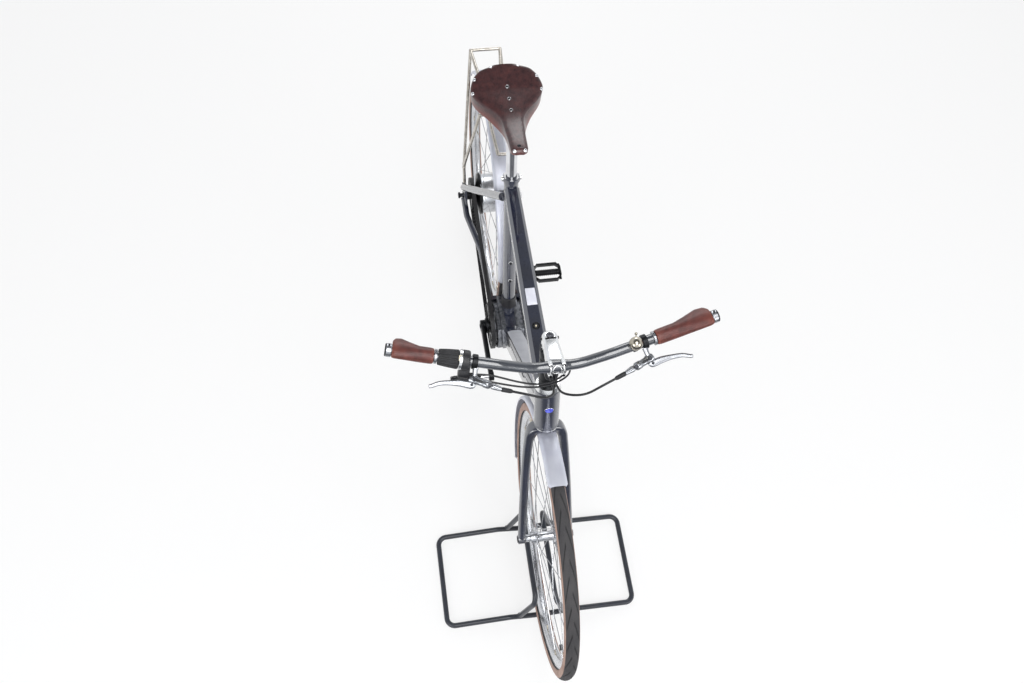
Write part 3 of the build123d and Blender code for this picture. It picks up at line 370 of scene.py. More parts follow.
# Sprayed enamel of the frame and fork: near-black navy whose clear coat mirrors a pale room.
NAVY = surface("navy_enamel_clear_coated", "#1a2034", "#151928", 0.34, 5.0, 60, 0.03,
               Coat_Weight=1.0, Coat_Roughness=0.06, Coat_IOR=2.1)
# The bar's paint: baked greyer and silkier, so that it takes one broad soft highlight.
BAR_PAINT = surface("blue_grey_enamel_satin", "#33373f", "#2a2e36", 0.36, 4.0, 50, 0.03,
                    Coat_Weight=1.0, Coat_Roughness=0.1, Coat_IOR=1.9)
# Battery lid: flat light grey with only a faint sheen.
COVER = surface("light_grey_abs_lacquered", "#c3c4c9", "#b9bac0", 0.42, 0.9, 40, 0.03)
# Stem, seat head and small fittings: buffed, white where they face the room, with soft drawn reflections.
SILVER = surface("aluminium_polished", "#eceded", "#dcdddf", 0.2, 0.7, 25, 0.02, 0.3, (1, 0.15, 1), Metallic=1.0)
# Brake levers, their bodies and the grip rings: forged and tumbled, greyer than the stem, edges stand out.
FORGED = surface("aluminium_forged_tumbled", "#b3b5b9", "#9b9da2", 0.3, 0.8, 18, 0.03, 0.3, Metallic=1.0)
# Fenders: bluish-grey silk that spreads its highlights along the strip.
SATIN = surface("aluminium_anodised_satin", "#d3d5df", "#c8cad6", 0.42, 0.8, 40, 0.02, stretch=(0.2, 1, 1),
                Metallic=0.55)
# Rims, front hub and motor drum: bright, a little duller than the stem.
RIM_SILVER = surface("rim_aluminium_anodised", "#d3d5d9", "#c2c4c8", 0.26, 0.8, 30, 0.02, Metallic=1.0)
# Gearbox: rough sand-cast skin, mottled grey with darker hollows.
CAST = surface("aluminium_sand_cast_blasted", "#8f9196", "#5c5e63", 0.46, 1.8, 9, 0.25, 0.3, Metallic=1.0)
# Rack: drawn stainless tube, faintly champagne.
STAINLESS = surface("stainless_tube_drawn", "#cac5bd", "#aca69d", 0.25, 0.6, 20, 0.02, 0.3, (0.2, 0.2, 1), Metallic=1.0)
# Seatpost, saddle rails, rivets, pedal axles and valve stems: hard mirror.
CHROME = surface("chromium_plate", "#e2e3e6", "#d2d3d6", 0.07, 2.0, 40, 0.005, Metallic=1.0)
# Bell and spoke nipples: warm, slightly yellow mirror.
NICKEL = surface("nickel_plate_warm", "#c3bcae", "#a9a294", 0.12, 2.0, 12, 0.005, Metallic=1.0)
# Brake discs: ground steel with a soft circular sheen.
ROTOR = surface("rotor_steel_ground", "#a9aaac", "#8b8c90", 0.32, 0.5, 18, 0.03, Metallic=1.0)
# Spokes: bright wire that glints.
WIRE = surface("spoke_wire_stainless", "#c3c4c7", "#b0b1b5", 0.2, 1.0, 20, 0.01, Metallic=1.0)
# Cranks, pedals, sprockets, calipers, steering column and the motor's ends: deep satin black metal with
# grey edges of light.
DARK_ALLOY = surface("aluminium_black_anodised", "#222326", "#17181a", 0.36, 0.8, 25, 0.03, Metallic=0.7)
# Screw heads and axle nuts: dark and oily.
STEEL_BOLT = surface("bolt_steel_blackened", "#3d3e42", "#27282b", 0.3, 0.8, 8, 0.02, Metallic=1.0)
# Controls: fine spark-eroded black polymer.
POLYMER = surface("black_polymer_moulded", "#1d1d20", "#26262a", 0.46, 1.2, 30, 0.08)
# Twist grip, hose boots and the battery's gasket: duller, softer black than the housings.
RUBBER = surface("black_rubber_ribbed", "#19191b", "#232326", 0.62, 1.4, 20, 0.12)
# Hoses and cable housing: smooth black skin with a thin line of light.
HOSE = surface("cable_housing_pvc", "#121215", "#1b1b1f", 0.34, 1.6, 20, 0.03)
# Stand: blue-black powder coat with an orange-peel sheen.
POWDER = surface("black_powder_coat", "#20232b", "#292d36", 0.4, 1.3, 60, 0.12, Coat_Weight=0.2)
# Tyre tread: dusty dark grey rubber, dull, with near-black painted shade filling the grooves.
TREAD_WITH_GROOVE_SHADE = tinted(surface("tyre_rubber_dusty_painted_groove_shade", "#343335", "#3f3d3e", 0.74, 1.3, 55, 0.14), "cut", "#161617")
# The thin line along the tyre's edge, pinkish tan and matt.
SIDEWALL = surface("tyre_sidewall_tan", "#a68a7d", "#967a6e", 0.7, 1.0, 40, 0.1)
# Drive belt: matt black with a faint sheen on its back.
BELT = surface("belt_polyurethane_black", "#1b1b1d", "#262628", 0.5, 1.0, 30, 0.06)
# Grips: stitched hide, red brown and dry, so that only a weak broad light runs along it.
GRIP_LEATHER = hide("leather_stitched_red_brown", "#572722", "#431d17", "#69332c", 0.5, 1.2, 14, "#6f382c", 0.12)
# Saddle: thick hide, dark brown and waxed, with a soft sheen on its crown and redder cut edges.
SADDLE_LEATHER = hide("leather_waxed_dark_brown", "#3d2223", "#2e191b", "#4b2a29", 0.3, 1.0, 12)
# Stitching: raised, matt, paler than the leather.
THREAD = surface("waxed_linen_thread", "#5c3a2e", "#4a2c22", 0.7, 0.6, 5, 0.1)
# Blank label: flat cool white.
LABEL = surface("vinyl_label_white", "#dcdde6", "#d2d3dd", 0.45, 0.8, 20, 0.01)
# Badge: saturated blue glaze.
BADGE = surface("enamel_badge_blue", "#4f57c8", "#444bb8", 0.25, 1.0, 10, 0.01, Coat_Weight=0.6)
# Holes: a black cap paints the shade inside a hole, where almost no light comes back.
HOLE_SHADE_BLACK = surface("hole_shade_painted_black", "#0b0909", "#0f0c0c", 0.8, 1.0, 10, 0.05)
# Shifter's scale window: cream, lightly glossy.
WINDOW = surface("window_acrylic_cream", "#e6dcc4", "#d9ceb4", 0.3, 1.2, 12, 0.02)


# ---------------------------------------------------------------- making pieces

def piece(name, shell, material, body, stands_for=None, crease=32.0, extra=()):
    """A finished piece from a shell in millimetres: faces turned outwards, smooth except at creases
    sharper than an angle, riding on its body.  extra is a list of (shell, material) joined to it."""
    parts = [(shell, material), *extra]
    points, faces = together(*(part for part, _ in parts))
    mesh = bpy.data.meshes.new(name)
    mesh.from_pydata((points * MM).tolist(), [], faces)
    finishes = list(dict.fromkeys(m.name for _, m in parts))
    for label in finishes:
        mesh.materials.append(bpy.data.materials[label])
    slots = np.repeat([finishes.index(m.name) for _, m in parts], [len(part[1]) for part, _ in parts])
    mesh.polygons.foreach_set("material_index", slots.astype(np.int32))
    mesh.polygons.foreach_set("use_smooth", np.ones(len(slots), bool))
    work = bmesh.new()
    work.from_mesh(mesh)
    bmesh.ops.recalc_face_normals(work, faces=work.faces)
    work.to_mesh(mesh)
    work.free()
    mesh.set_sharp_from_angle(angle=math.radians(crease))
    mesh.update()
    made = bpy.data.objects.new(name, mesh)
    bpy.context.scene.collection.objects.link(made)
    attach(made, body)
    if stands_for:
        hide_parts(stands_for)
    return made


def mark(made, name, values):
    """Attribute of a finished piece's mesh: one number for each of its points."""
    made.data.attributes.new(name, "FLOAT", "POINT").data.foreach_set("value", np.ravel(values))


def bolts(places, ways, radius, height, socket):
    """Round-headed bolts with a hexagon socket: a ring that drops inside to six sides."""
    angle = np.linspace(0, 2 * np.pi, 12, endpoint=False)
    c, s = np.cos(angle), np.sin(angle)
    hexagon = socket / np.cos((angle + np.pi / 6) % (np.pi / 3) - np.pi / 6)
    rings = [(radius, -1), (radius, height * 0.7), (radius * 0.8, height), (hexagon, height),
             (hexagon, height * 0.35)]
    grid = np.stack([np.stack([c * size, s * size, np.full(12, float(level))], -1) for size, level in rings])
    return copies(skin(grid), places, facing(ways))


def rods(starts, ends, radius, end_radius=None, sides=10):
    """Straight bars, one from each start to its end: a bar of unit length, stretched and turned."""
    run = np.asarray(ends, float) - np.asarray(starts, float)
    turns = facing(run)
    turns[:, :, 2] *= np.linalg.norm(run, axis=1)[:, None]
    return copies(bar((0, 0, 0), (0, 0, 1), radius, end_radius, sides), starts, turns)


def plate(grid, solid, lift):
    """Pierced plate, closed on itself row after row: of the cells between the points of a grid (rows,
    columns, 3), the solid ones are kept, each from half the lift below to half above, with a wall
    wherever a kept cell ends."""
    rows, columns = grid.shape[:2]
    total = rows * columns
    points = np.concatenate([(grid - lift / 2).reshape(-1, 3), (grid + lift / 2).reshape(-1, 3)])
    row, column = np.nonzero(solid)
    on = (row + 1) % rows
    a, d = row * columns + column, on * columns + column
    b, c = a + 1, d + 1
    faces = [np.stack([a, b, c, d], -1), np.stack([d, c, b, a], -1) + total]
    padded = np.pad(solid, 1)
    padded[0, 1:-1], padded[-1, 1:-1] = solid[-1], solid[0]
    for row_step, column_step, first, second in ((-1, 0, a, b), (1, 0, c, d), (0, -1, d, a), (0, 1, b, c)):
        edge = ~padded[row + 1 + row_step, column + 1 + column_step]
        faces.append(np.stack([first, first + total, second + total, second], -1)[edge])
    faces = np.concatenate(faces)
    used, index = np.unique(faces, return_inverse=True)
    return points[used], index.reshape(faces.shape).tolist()


# ---------------------------------------------------------------- camera, light and floor

def placed(across, over, back, place):
    """Matrix of an object whose three axes and place are given."""
    return Matrix([[across[i], over[i], back[i], place[i]] for i in range(3)] + [[0, 0, 0, 1]])


scene = bpy.context.scene
scene.view_settings.view_transform = "Standard"

# Where the camera stands, in metres, and its ways to the right and forwards.
eye = np.array([1.1535, -0.309, 2.664])
eye_right = unit([0.14446, 0.98787, 0.05700])
eye_forward = unit([-0.44908, 0.11678, -0.88583])
eye_up = np.cross(eye_right, eye_forward)
camera_data = bpy.data.cameras.new("camera")
camera_data.lens = 33.51
camera_data.sensor_width = 36.0
camera_data.clip_end = 60
camera = bpy.data.objects.new("camera", camera_data)
camera.matrix_world = placed(eye_right, eye_up, -eye_forward, eye)
scene.collection.objects.link(camera)
scene.camera = camera


def seen_white(tree, lit, share):
    """Mixes a lit shader with a white glow that only the camera, glossy and clear rays see."""
    path = add(tree, "ShaderNodeLightPath")
    glossy = add(tree, "ShaderNodeMath", {"operation": "MAXIMUM"},
                 links={0: path.outputs["Is Camera Ray"], 1: path.outputs["Is Glossy Ray"]})
    seen = add(tree, "ShaderNodeMath", {"operation": "MAXIMUM"},
               links={0: glossy.outputs[0], 1: path.outputs["Is Transmission Ray"]})
    part = add(tree, "ShaderNodeMath", {"operation": "MULTIPLY"}, {1: share}, {0: seen.outputs[0]})
    glow = add(tree, "ShaderNodeEmission", values={"Color": (1, 1, 1, 1), "Strength": 1.0})
    return add(tree, "ShaderNodeMixShader", links={0: part.outputs[0], 1: lit, 2: glow.outputs[0]}).outputs[0]


floor_material = bpy.data.materials.new("floor_white")
floor_material.use_nodes = True
floor_tree = floor_material.node_tree
floor_tree.nodes.remove(floor_tree.nodes["Principled BSDF"])
matt = add(floor_tree, "ShaderNodeBsdfDiffuse", values={"Color": (0.86, 0.86, 0.86, 1)})
pale = seen_white(floor_tree, matt.outputs[0], 0.72)
# Polished faces that look far ahead see the unlit end of the studio, which draws the dark middle of the
# tubes.
floor_place = add(floor_tree, "ShaderNodeSeparateXYZ",
                  links={0: add(floor_tree, "ShaderNodeTexCoord").outputs["Object"]})
ahead = add(floor_tree, "ShaderNodeMapRange", {"interpolation_type": "SMOOTHSTEP"},
            {"From Min": 0.7, "From Max": 1.5, "To Min": 0.0, "To Max": 0.9}, {"Value": floor_place.outputs["X"]})
mirrored = add(floor_tree, "ShaderNodeMath", {"operation": "MULTIPLY"},
               links={0: ahead.outputs[0], 1: add(floor_tree, "ShaderNodeLightPath").outputs["Is Glossy Ray"]})
dim = add(floor_tree, "ShaderNodeEmission", values={"Color": (0.5, 0.55, 0.7, 1), "Strength": 0.12})
ground = add(floor_tree, "ShaderNodeMixShader", links={0: mirrored.outputs[0], 1: pale, 2: dim.outputs[0]})
floor_tree.links.new(ground.outputs[0], floor_tree.nodes["Material Output"].inputs["Surface"])
floor_mesh = bpy.data.meshes.new("floor")
FLOOR_HALF = 14.0                     # metres
floor_mesh.from_pydata([(*corner, 0) for corner in oblong(FLOOR_HALF, FLOOR_HALF)], [], [(0, 1, 2, 3)])
floor_mesh.materials.append(floor_material)
floor = bpy.data.objects.new("floor", floor_mesh)
scene.collection.objects.link(floor)

world = bpy.data.worlds.new("studio")
scene.world = world
world.use_nodes = True
world_tree = world.node_tree
room = world_tree.nodes["Background"]
room.inputs["Color"].default_value = (0.95, 0.97, 1.0, 1)
# Walls are bright up to a third of the way to the top, and the ceiling above them is dim.
sight = add(world_tree, "ShaderNodeSeparateXYZ",
            links={0: add(world_tree, "ShaderNodeTexCoord").outputs["Generated"]})
dimming = add(world_tree, "ShaderNodeMapRange", {"interpolation_type": "SMOOTHSTEP"},
              {"From Min": 0.42, "From Max": 0.82, "To Min": 1.0, "To Max": 0.2}, {"Value": sight.outputs["Z"]})
world_tree.links.new(dimming.outputs[0], room.inputs["Strength"])
world_path = add(world_tree, "ShaderNodeLightPath")
world_seen = add(world_tree, "ShaderNodeMath", {"operation": "MAXIMUM"},
                 links={0: world_path.outputs["Is Camera Ray"], 1: world_path.outputs["Is Transmission Ray"]})
backdrop = add(world_tree, "ShaderNodeBackground", values={"Color": (1, 1, 1, 1), "Strength": 1.0})
blend = add(world_tree, "ShaderNodeMixShader",
            links={0: world_seen.outputs[0], 1: room.outputs[0], 2: backdrop.outputs[0]})
world_tree.links.new(blend.outputs[0], world_tree.nodes["World Output"].inputs["Surface"])


def lamp(name, place, aim, size, power):
    """Soft square lamp that points from its place to its aim, in metres."""
    data = bpy.data.lights.new(name, "AREA")
    data.shape = "RECTANGLE"
    data.size, data.size_y = size
    data.energy = power
    made = bpy.data.objects.new(name, data)
    back = unit(np.array(place) - np.array(aim))
    across = unit(np.cross(RISE if abs(back[2]) < 0.99 else LEVEL, back))
    over = np.cross(back, across)
    made.matrix_world = placed(across, over, back, place)
    scene.collection.objects.link(made)


lamp("overhead", (1.7, 0.0, 3.7), (0, 0, 0), (1.8, 3.0), 80)
lamp("front_left", (2.6, 2.2, 1.9), (0.2, 0, 0.5), (1.6, 1.6), 30)
lamp("front_right", (2.4, -2.4, 1.9), (0.2, 0, 0.5), (1.6, 1.6), 30)
lamp("rear", (-3.0, 0.6, 2.2), (-0.3, 0, 0.5), (1.6, 1.4), 22)


# ---------------------------------------------------------------- hoses and cables

# Routes from the controls to the steering column, in metres.
RIGHT_HOSE = [(0.393, -0.098, 0.946), (0.399, -0.066, 0.936), (0.402, -0.033, 0.915), (0.386, -0.006, 0.890),
              (0.3578, -0.005, 0.8794), (0.3276, -0.005, 0.8688)]
LEFT_HOSE = [(0.389, 0.113, 0.944), (0.398, 0.084, 0.935), (0.404, 0.054, 0.915), (0.394, 0.027, 0.896),
             (0.377, 0.009, 0.878), (0.3526, 0.005, 0.867), (0.3309, 0.005, 0.8594)]
UPPER_CABLE = [(0.343, -0.168, 0.938), (0.346, -0.138, 0.935), (0.354, -0.113, 0.931), (0.364, -0.082, 0.925),
               (0.371, -0.049, 0.919), (0.370, -0.015, 0.914), (0.352, 0.019, 0.908), (0.3248, 0.031, 0.9017),
               (0.3016, 0.0138, 0.8936)]
LOWER_CABLE = [(0.347, -0.168, 0.927), (0.357, -0.136, 0.924), (0.366, -0.102, 0.919), (0.373, -0.067, 0.914),
               (0.374, -0.032, 0.909), (0.365, 0.004, 0.904), (0.346, 0.032, 0.894), (0.3199, 0.0391, 0.8809),
               (0.3035, 0.0184, 0.8752)]


def line(name, route, radius):
    """Hose or cable housing: one smooth NURBS spline with the route's points as its control points."""
    curve = bpy.data.curves.new(name, "CURVE")
    curve.dimensions = "3D"
    spline = curve.splines.new("NURBS")
    spline.points.add(len(route) - 1)
    spline.points.foreach_set("co", np.concatenate([np.array(route), np.ones((len(route), 1))], 1).ravel())
    spline.order_u = 3
    spline.use_endpoint_u = True
    spline.resolution_u = 16
    curve.bevel_depth = radius * MM
    curve.bevel_resolution = 5
    curve.use_fill_caps = True
    curve.materials.append(HOSE)
    made = bpy.data.objects.new(name, curve)
    scene.collection.objects.link(made)
    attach(made, "front_end")
    return made


for cord_name, route, radius, length, node in (
        ("brake_hose_right", RIGHT_HOSE, 2.5, 0.172, "brake_hoses"),
        ("brake_hose_left", LEFT_HOSE, 2.5, 0.181, "brake_hoses"),
        ("shift_cable_upper", UPPER_CABLE, 2.0, 0.252, "shift_cables"),
        ("shift_cable_lower", LOWER_CABLE, 2.0, 0.264, "shift_cables")):
    cord = line(cord_name, route, radius)
    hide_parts(node)


# ---------------------------------------------------------------- wheels and drive

def tyre(name, centre, body):
    """Tyre: a ring of circular section (radius TYRE_HALF about WHEEL - TYRE_HALF) closed by the rim's
    bed.  Long shallow grooves run back from near the middle of the tread to each shoulder: groove k
    lies where turn + 1.4 |s|**1.2 = k pitches, s being the way out from the middle."""
    rows, columns = 960, 72
    pitches, pitch, half_width, wall, depth = 30, 72.0, 6.5, 2.5, 1.2      # of the grooves, along the tread
    shoulder, line_from = np.radians([75, 62])                             # where s is one, and the thin line
    tube_radius = WHEEL - TYRE_HALF
    edge = np.degrees(np.arccos((RIM - tube_radius) / TYRE_HALF))
    lean = np.radians(np.linspace(-edge, edge, columns))
    share = np.linspace(0, 1, rows, endpoint=False)[:, None]
    s = lean / shoulder
    lag = share * pitches + 1.4 * np.abs(s) ** 1.2 - np.where(s > 0, 0.5, 0.0)
    off = np.abs((lag + 0.5) % 1 - 0.5) * pitch
    cut = np.clip((half_width - off) / wall, 0, 1) * ((np.abs(s) > 0.10) & (np.abs(s) < 0.66))
    size = TYRE_HALF - cut * depth
    bed = np.ones((rows, 1)) * (0.5, -0.5)
    radius = np.concatenate([tube_radius + np.cos(lean) * size, np.full((rows, 2), RIM - 0.4)], 1)
    level = np.concatenate([np.sin(lean) * size, TYRE_HALF * bed], 1)
    made = piece(name + "_rubber", skin(centre + turn(share * 360, radius, level), True), TREAD_WITH_GROOVE_SHADE, body,
                 name, crease=60)
    made.data.materials.append(SIDEWALL)
    # The groove mask is kept on the mesh as cut, and the tread's finish uses it to paint shade into the grooves.
    mark(made, "cut", np.concatenate([cut, np.zeros((rows, 2))], 1))
    line_of = np.concatenate([np.abs(lean) > line_from, [False, False]])
    made.data.polygons.foreach_set("material_index", np.tile(line_of, rows).astype(np.int32))


def rim(name, centre, body):
    """Rim: box section with a bright brake-free wall and a well for the tyre, turned about the axle."""
    wall = [(12, RIM), (12.2, RIM - 2), (11.4, RIM - 10), (9.3, RIM - 15.5), (5, RIM - 20), (0, RIM - 21)]
    well = [(10.6, RIM), (9.6, RIM - 3.6), (5, RIM - 6), (0, RIM - 7)]
    profile = [(-x, r) for x, r in wall[:-1]] + [wall[-1]] + wall[-2::-1] + well + [(-x, r) for x, r in well[-2::-1]]
    piece(name + "_alloy", spun(centre, SIDE, profile, 180), RIM_SILVER, body, name, crease=28)


def spokes(name, centre, body, flange, flange_side):
    """Crossed wire spokes: from a hub flange to the rim, each with a nipple at its outer end."""
    count, nipple_ring = 28, 297
    index = np.arange(count)
    side = np.where(index % 2, 1, -1)
    way = np.where((index // 2) % 2, 1, -1)
    pitch = 360 / count
    foot = centre + turn(index * pitch + way * 5 * pitch, flange, side * (flange_side + way * 1.6))
    tip = centre + turn(index * pitch, nipple_ring, side * (3.5 + way * 1.5))
    neck = foot + unit(tip - foot) * (np.linalg.norm(tip - foot, axis=1) - 16)[:, None]
    heads = bolts(foot + SIDE * (way * side * 0.4)[:, None], SIDE * (way * side)[:, None], 2.0, 1.2, 0.7)
    piece(name + "_wire", together(rods(foot, tip, 1.0, sides=8), heads), WIRE, body, name,
          extra=[(rods(neck, tip - unit(tip - foot) * 2, 1.7, 1.9, 6), NICKEL)])


def disc(name, centre, body, level):
    """Brake disc: a ring with three rows of slots, swept arms and a carrier with five bolts."""
    radii = np.array([22, 24, 63, 65.5, 68.5, 70.5, 73.5, 75.5, 78, 80.0])
    place = np.arange(180)
    solid = np.ones((len(place), len(radii) - 1), bool)
    solid[:, 1] = place % 36 < 5
    for ring_index, start in ((3, 0), (5, 2), (7, 4)):
        solid[(place + start) % 6 < 2, ring_index] = False
    swept = place[:, None] * 2 + np.interp(radii, [22, 63, 80], [0, 14, 14])
    carrier = spun(centre, SIDE, [(level - 2, 13.2), (level - 2, 23), (level + 1.6, 24), (level + 1.6, 14)], 60)
    fixing = bolts(centre + turn(np.arange(5) * 72 + 20, 18.5, level + 1.6), SIDE, 3.2, 2, 1.6)
    grid = centre + turn(swept, radii, float(level))
    piece(name + "_steel", plate(grid, solid, SIDE * 2.0), ROTOR, body, name,
          extra=[(carrier, DARK_ALLOY), (fixing, STEEL_BOLT)])


def valve(name, centre, body, angle):
    """Valve: threaded stem through the rim with a dark cap, pointing at the hub."""
    inward = -turn(angle)
    base = centre + turn(angle, RIM - 22)
    steps = np.array([0, 3, 3, 20, 20, 21, 33, 34.5])
    sizes = np.array([5, 5, 3, 3, 3.6, 4.1, 4.1, 2.5])
    stem_part = spun(base, inward, np.stack([steps[:5], sizes[:5]], -1), 20, closed=False, start=SIDE)
    cap_part = spun(base, inward, np.stack([steps[4:] + 0.2, sizes[4:]], -1), 20, closed=False, start=SIDE)
    piece(name, stem_part, CHROME, body, extra=[(cap_part, POLYMER)])


for wheel_name, wheel_centre, wheel_body, flange_radius, flange_level in (
        ("front", FRONT, "front_wheel", 21, 22), ("rear", REAR, "rear_wheel", 56, 27)):
    tyre(wheel_name + "_tyre", wheel_centre, wheel_body)
    rim(wheel_name + "_rim", wheel_centre, wheel_body)
    spokes(wheel_name + "_spokes", wheel_centre, wheel_body, flange_radius, flange_level)
    valve(wheel_name + "_valve", wheel_centre, wheel_body, -9 if wheel_name == "front" else 96)
disc("front_disc", FRONT, "front_wheel", 36)
disc("rear_disc", REAR, "rear_wheel", 52)

hub_profile = [(-49, 6.2), (-49, 8), (-47.5, 9), (-38, 9), (-37, 15), (-26, 15), (-25, 23.5), (-24, 25), (-22.6, 25),
               (-21.8, 23), (-20, 14), (-14, 12.6), (0, 12), (14, 12.6), (20, 14), (21.8, 23), (22.6, 25), (24, 25),
               (25, 23.5), (26, 16), (34.6, 16), (34.8, 13), (37.5, 13), (38, 9), (47.5, 9), (49, 8), (49, 6.2)]
piece("front_hub_shell", spun(FRONT, SIDE, hub_profile, 72), RIM_SILVER, "front_wheel",
      "front_hub", crease=40)

near_end = [(-66.4, 6.3), (-66.4, 14), (-65, 15), (-55, 15), (-46, 15), (-38, 28), (-35, 42), (-33.5, 54), (-32, 60),
            (-29, 61), (-24, 61), (-24, 20), (-30, 6.3)]
far_end = [(24, 20), (24, 61), (29, 61), (32, 60), (33.5, 54), (35, 42), (38, 28), (40, 14), (50.8, 13), (57, 13),
           (66.4, 11), (66.4, 6.3), (30, 6.3)]
drum_profile = [(-24.2, 30), (-24.2, 59.6), (-22, 58.4), (-19, 57.4), (19, 57.4), (22, 58.4), (24.2, 59.6), (24.2, 30)]
cover_bolts = bolts(REAR + turn(np.arange(8) * 45, 48, 33.6), SIDE, 2.4, 1.8, 1.2)
piece("rear_motor_shell", spun(REAR, SIDE, drum_profile, 96), RIM_SILVER, "rear_wheel",
      "rear_hub_motor", crease=30, extra=[(spun(REAR, SIDE, near_end, 96), DARK_ALLOY),
                                          (spun(REAR, SIDE, far_end, 96), DARK_ALLOY), (cover_bolts, STEEL_BOLT)])


BELT_LEVEL = -50.0                    # the belt runs this far to the left of the middle, so on the right


def sprocket(name, centre, body, radius, bore, teeth, windows):
    """Belt wheel: a thick toothed edge that dips between the teeth, and a thinner web with windows."""
    place = np.arange(teeth * 8)
    turns = place * 360 / len(place)
    dip = np.where(place % 8 >= 4, 2.6, 0.0)
    radii = np.stack([np.full(len(place), r) for r in (bore, 0.42 * radius, 0.78 * radius, radius - 4.0)]
                     + [radius - dip], -1)
    solid = np.ones((len(place), 4), bool)
    if windows:
        solid[:, 1] = (turns * windows / 360) % 1 < 0.34
    grid = centre + turn(turns[:, None], radii, BELT_LEVEL)
    web, edge = plate(grid, solid, SIDE * 7), plate(grid[:, 3:], solid[:, 3:], SIDE * 11)
    piece(name + "_alloy", web, DARK_ALLOY, body, name, crease=30, extra=[(edge, DARK_ALLOY)])


sprocket("front_sprocket", BRACKET, "cranks", 62, 12.1, 32, 5)
sprocket("rear_cog", REAR, "rear_wheel", 45, 15.1, 24, 0)


def belt_path(front_radius, rear_radius, steps):
    """Even places round the belt's loop: two arcs joined by the tangents of both wheels."""
    gap = REAR - BRACKET
    reach = np.linalg.norm(gap)
    along, across = gap / reach, np.array([-gap[2], 0, gap[0]]) / reach
    lean = np.arcsin((front_radius - rear_radius) / reach)
    front_arc = np.linspace(np.pi / 2 - lean, -np.pi / 2 + lean, 200)[:, None]
    rear_arc = np.linspace(-np.pi / 2 + lean, -3 * np.pi / 2 - lean, 200)[:, None]
    front = BRACKET + (-along * np.cos(front_arc) + across * np.sin(front_arc)) * front_radius
    rear = REAR + (-along * np.cos(rear_arc) + across * np.sin(rear_arc)) * rear_radius
    loop = np.concatenate([front, rear, front[:1]])
    length = np.concatenate([[0], np.cumsum(np.linalg.norm(np.diff(loop, axis=0), axis=1))])
    place = np.linspace(0, length[-1], steps, endpoint=False)
    return np.stack([np.interp(place, length, loop[:, i]) for i in range(3)], -1)


# The belt's section: its back lies 0.6 outside the loop, its inner side 3.4 inside at each tooth.
BELT_STEPS, TOOTH, BELT_HALF = 540, 3.4, 5.5
belt_loop = belt_path(62.4 + TOOTH, 45.4 + TOOTH, BELT_STEPS) + SIDE * BELT_LEVEL
belt_back = np.full(BELT_STEPS, 0.6)
belt_teeth = -np.where(np.arange(BELT_STEPS) % 5 < 2, TOOTH, 0.8)
belt_section = np.stack([np.stack([np.full(BELT_STEPS, across), out], -1) for across, out in (
    (-BELT_HALF, belt_back), (BELT_HALF, belt_back), (BELT_HALF, belt_teeth), (-BELT_HALF, belt_teeth))], 1)
outward = belt_loop - ((REAR + BRACKET) / 2 + SIDE * BELT_LEVEL)
long_loop = np.concatenate([belt_loop[-1:], belt_loop, belt_loop[:1]])
belt_out = np.cross(unit(np.gradient(long_loop, axis=0))[1:-1], SIDE)
belt_out = belt_out * np.sign((belt_out * unit(outward)).sum(1).mean())
belt_grid = belt_loop[:, None] + SIDE * belt_section[..., :1] + belt_out[:, None] * belt_section[..., 1:]
piece("drive_belt_toothed", skin(belt_grid, True), BELT, "frame", "drive_belt", crease=30)


# ---------------------------------------------------------------- cranks and pedals

CRANK_ANGLE, CRANK_LENGTH = 8.0, 170.0
CRANK_WAY = turn(CRANK_ANGLE)
CRANK_OVER = np.cross(CRANK_WAY, SIDE)
share = np.linspace(0, 1, 24)
arms, fixings = [], []
for direction in (1, -1):
    level = -direction * 72.0
    tip = CRANK_WAY * direction * CRANK_LENGTH
    path = BRACKET + SIDE * level + tip * (share[:, None] * 1.04 - 0.02)
    round_end = np.sqrt(np.clip(1 - np.clip((np.abs(share - 0.5) - 0.44) / 0.06, 0, 1) ** 2, 0.04, 1))
    half = (16.5 * (1 - share) + 12.5 * share - 3.4 * np.sin(share * np.pi)) * round_end
    arms.append(carried(path, ring(count=24, power=3.2) * np.stack([np.full(24, 6.9), half], -1)[:, None],
                        CRANK_OVER))
    for centre, bore, radius, bevel, sides in ((BRACKET, 6, 17, 1.5, 48), (BRACKET + tip, 3, 13, 1, 40)):
        eye_profile = [(-7, bore), (-7, radius - bevel), (bevel - 7, radius), (7 - bevel, radius),
                       (7, radius - bevel), (7, bore)]
        arms.append(spun(centre, SIDE, np.array(eye_profile) + (level, 0), sides))
    outwards = SIDE * -direction
    fixings.append(bolts(BRACKET + SIDE * level + outwards * 6.6, outwards, 7.2, 2.2, 4))
arms.append(bar(BRACKET - SIDE * 70, BRACKET + SIDE * 70, 11.9, sides=36))
axles = [bar(*(BRACKET + CRANK_WAY * d * CRANK_LENGTH - SIDE * d * level for level in (66, 176.5)), 5.4, bevel=1)
         for d in (1, -1)]
boss = spun(BRACKET, SIDE, [(-64.8, 12.2), (-64.8, 20), (-63, 22), (-55.6, 22), (-55.6, 12.2)], 48)
piece("crankset_forged", together(*arms), DARK_ALLOY, "cranks", "crankset", crease=35,
      extra=[(together(*axles), CHROME), (together(*fixings), STEEL_BOLT)])
piece("sprocket_boss", boss, DARK_ALLOY, "cranks", crease=35)


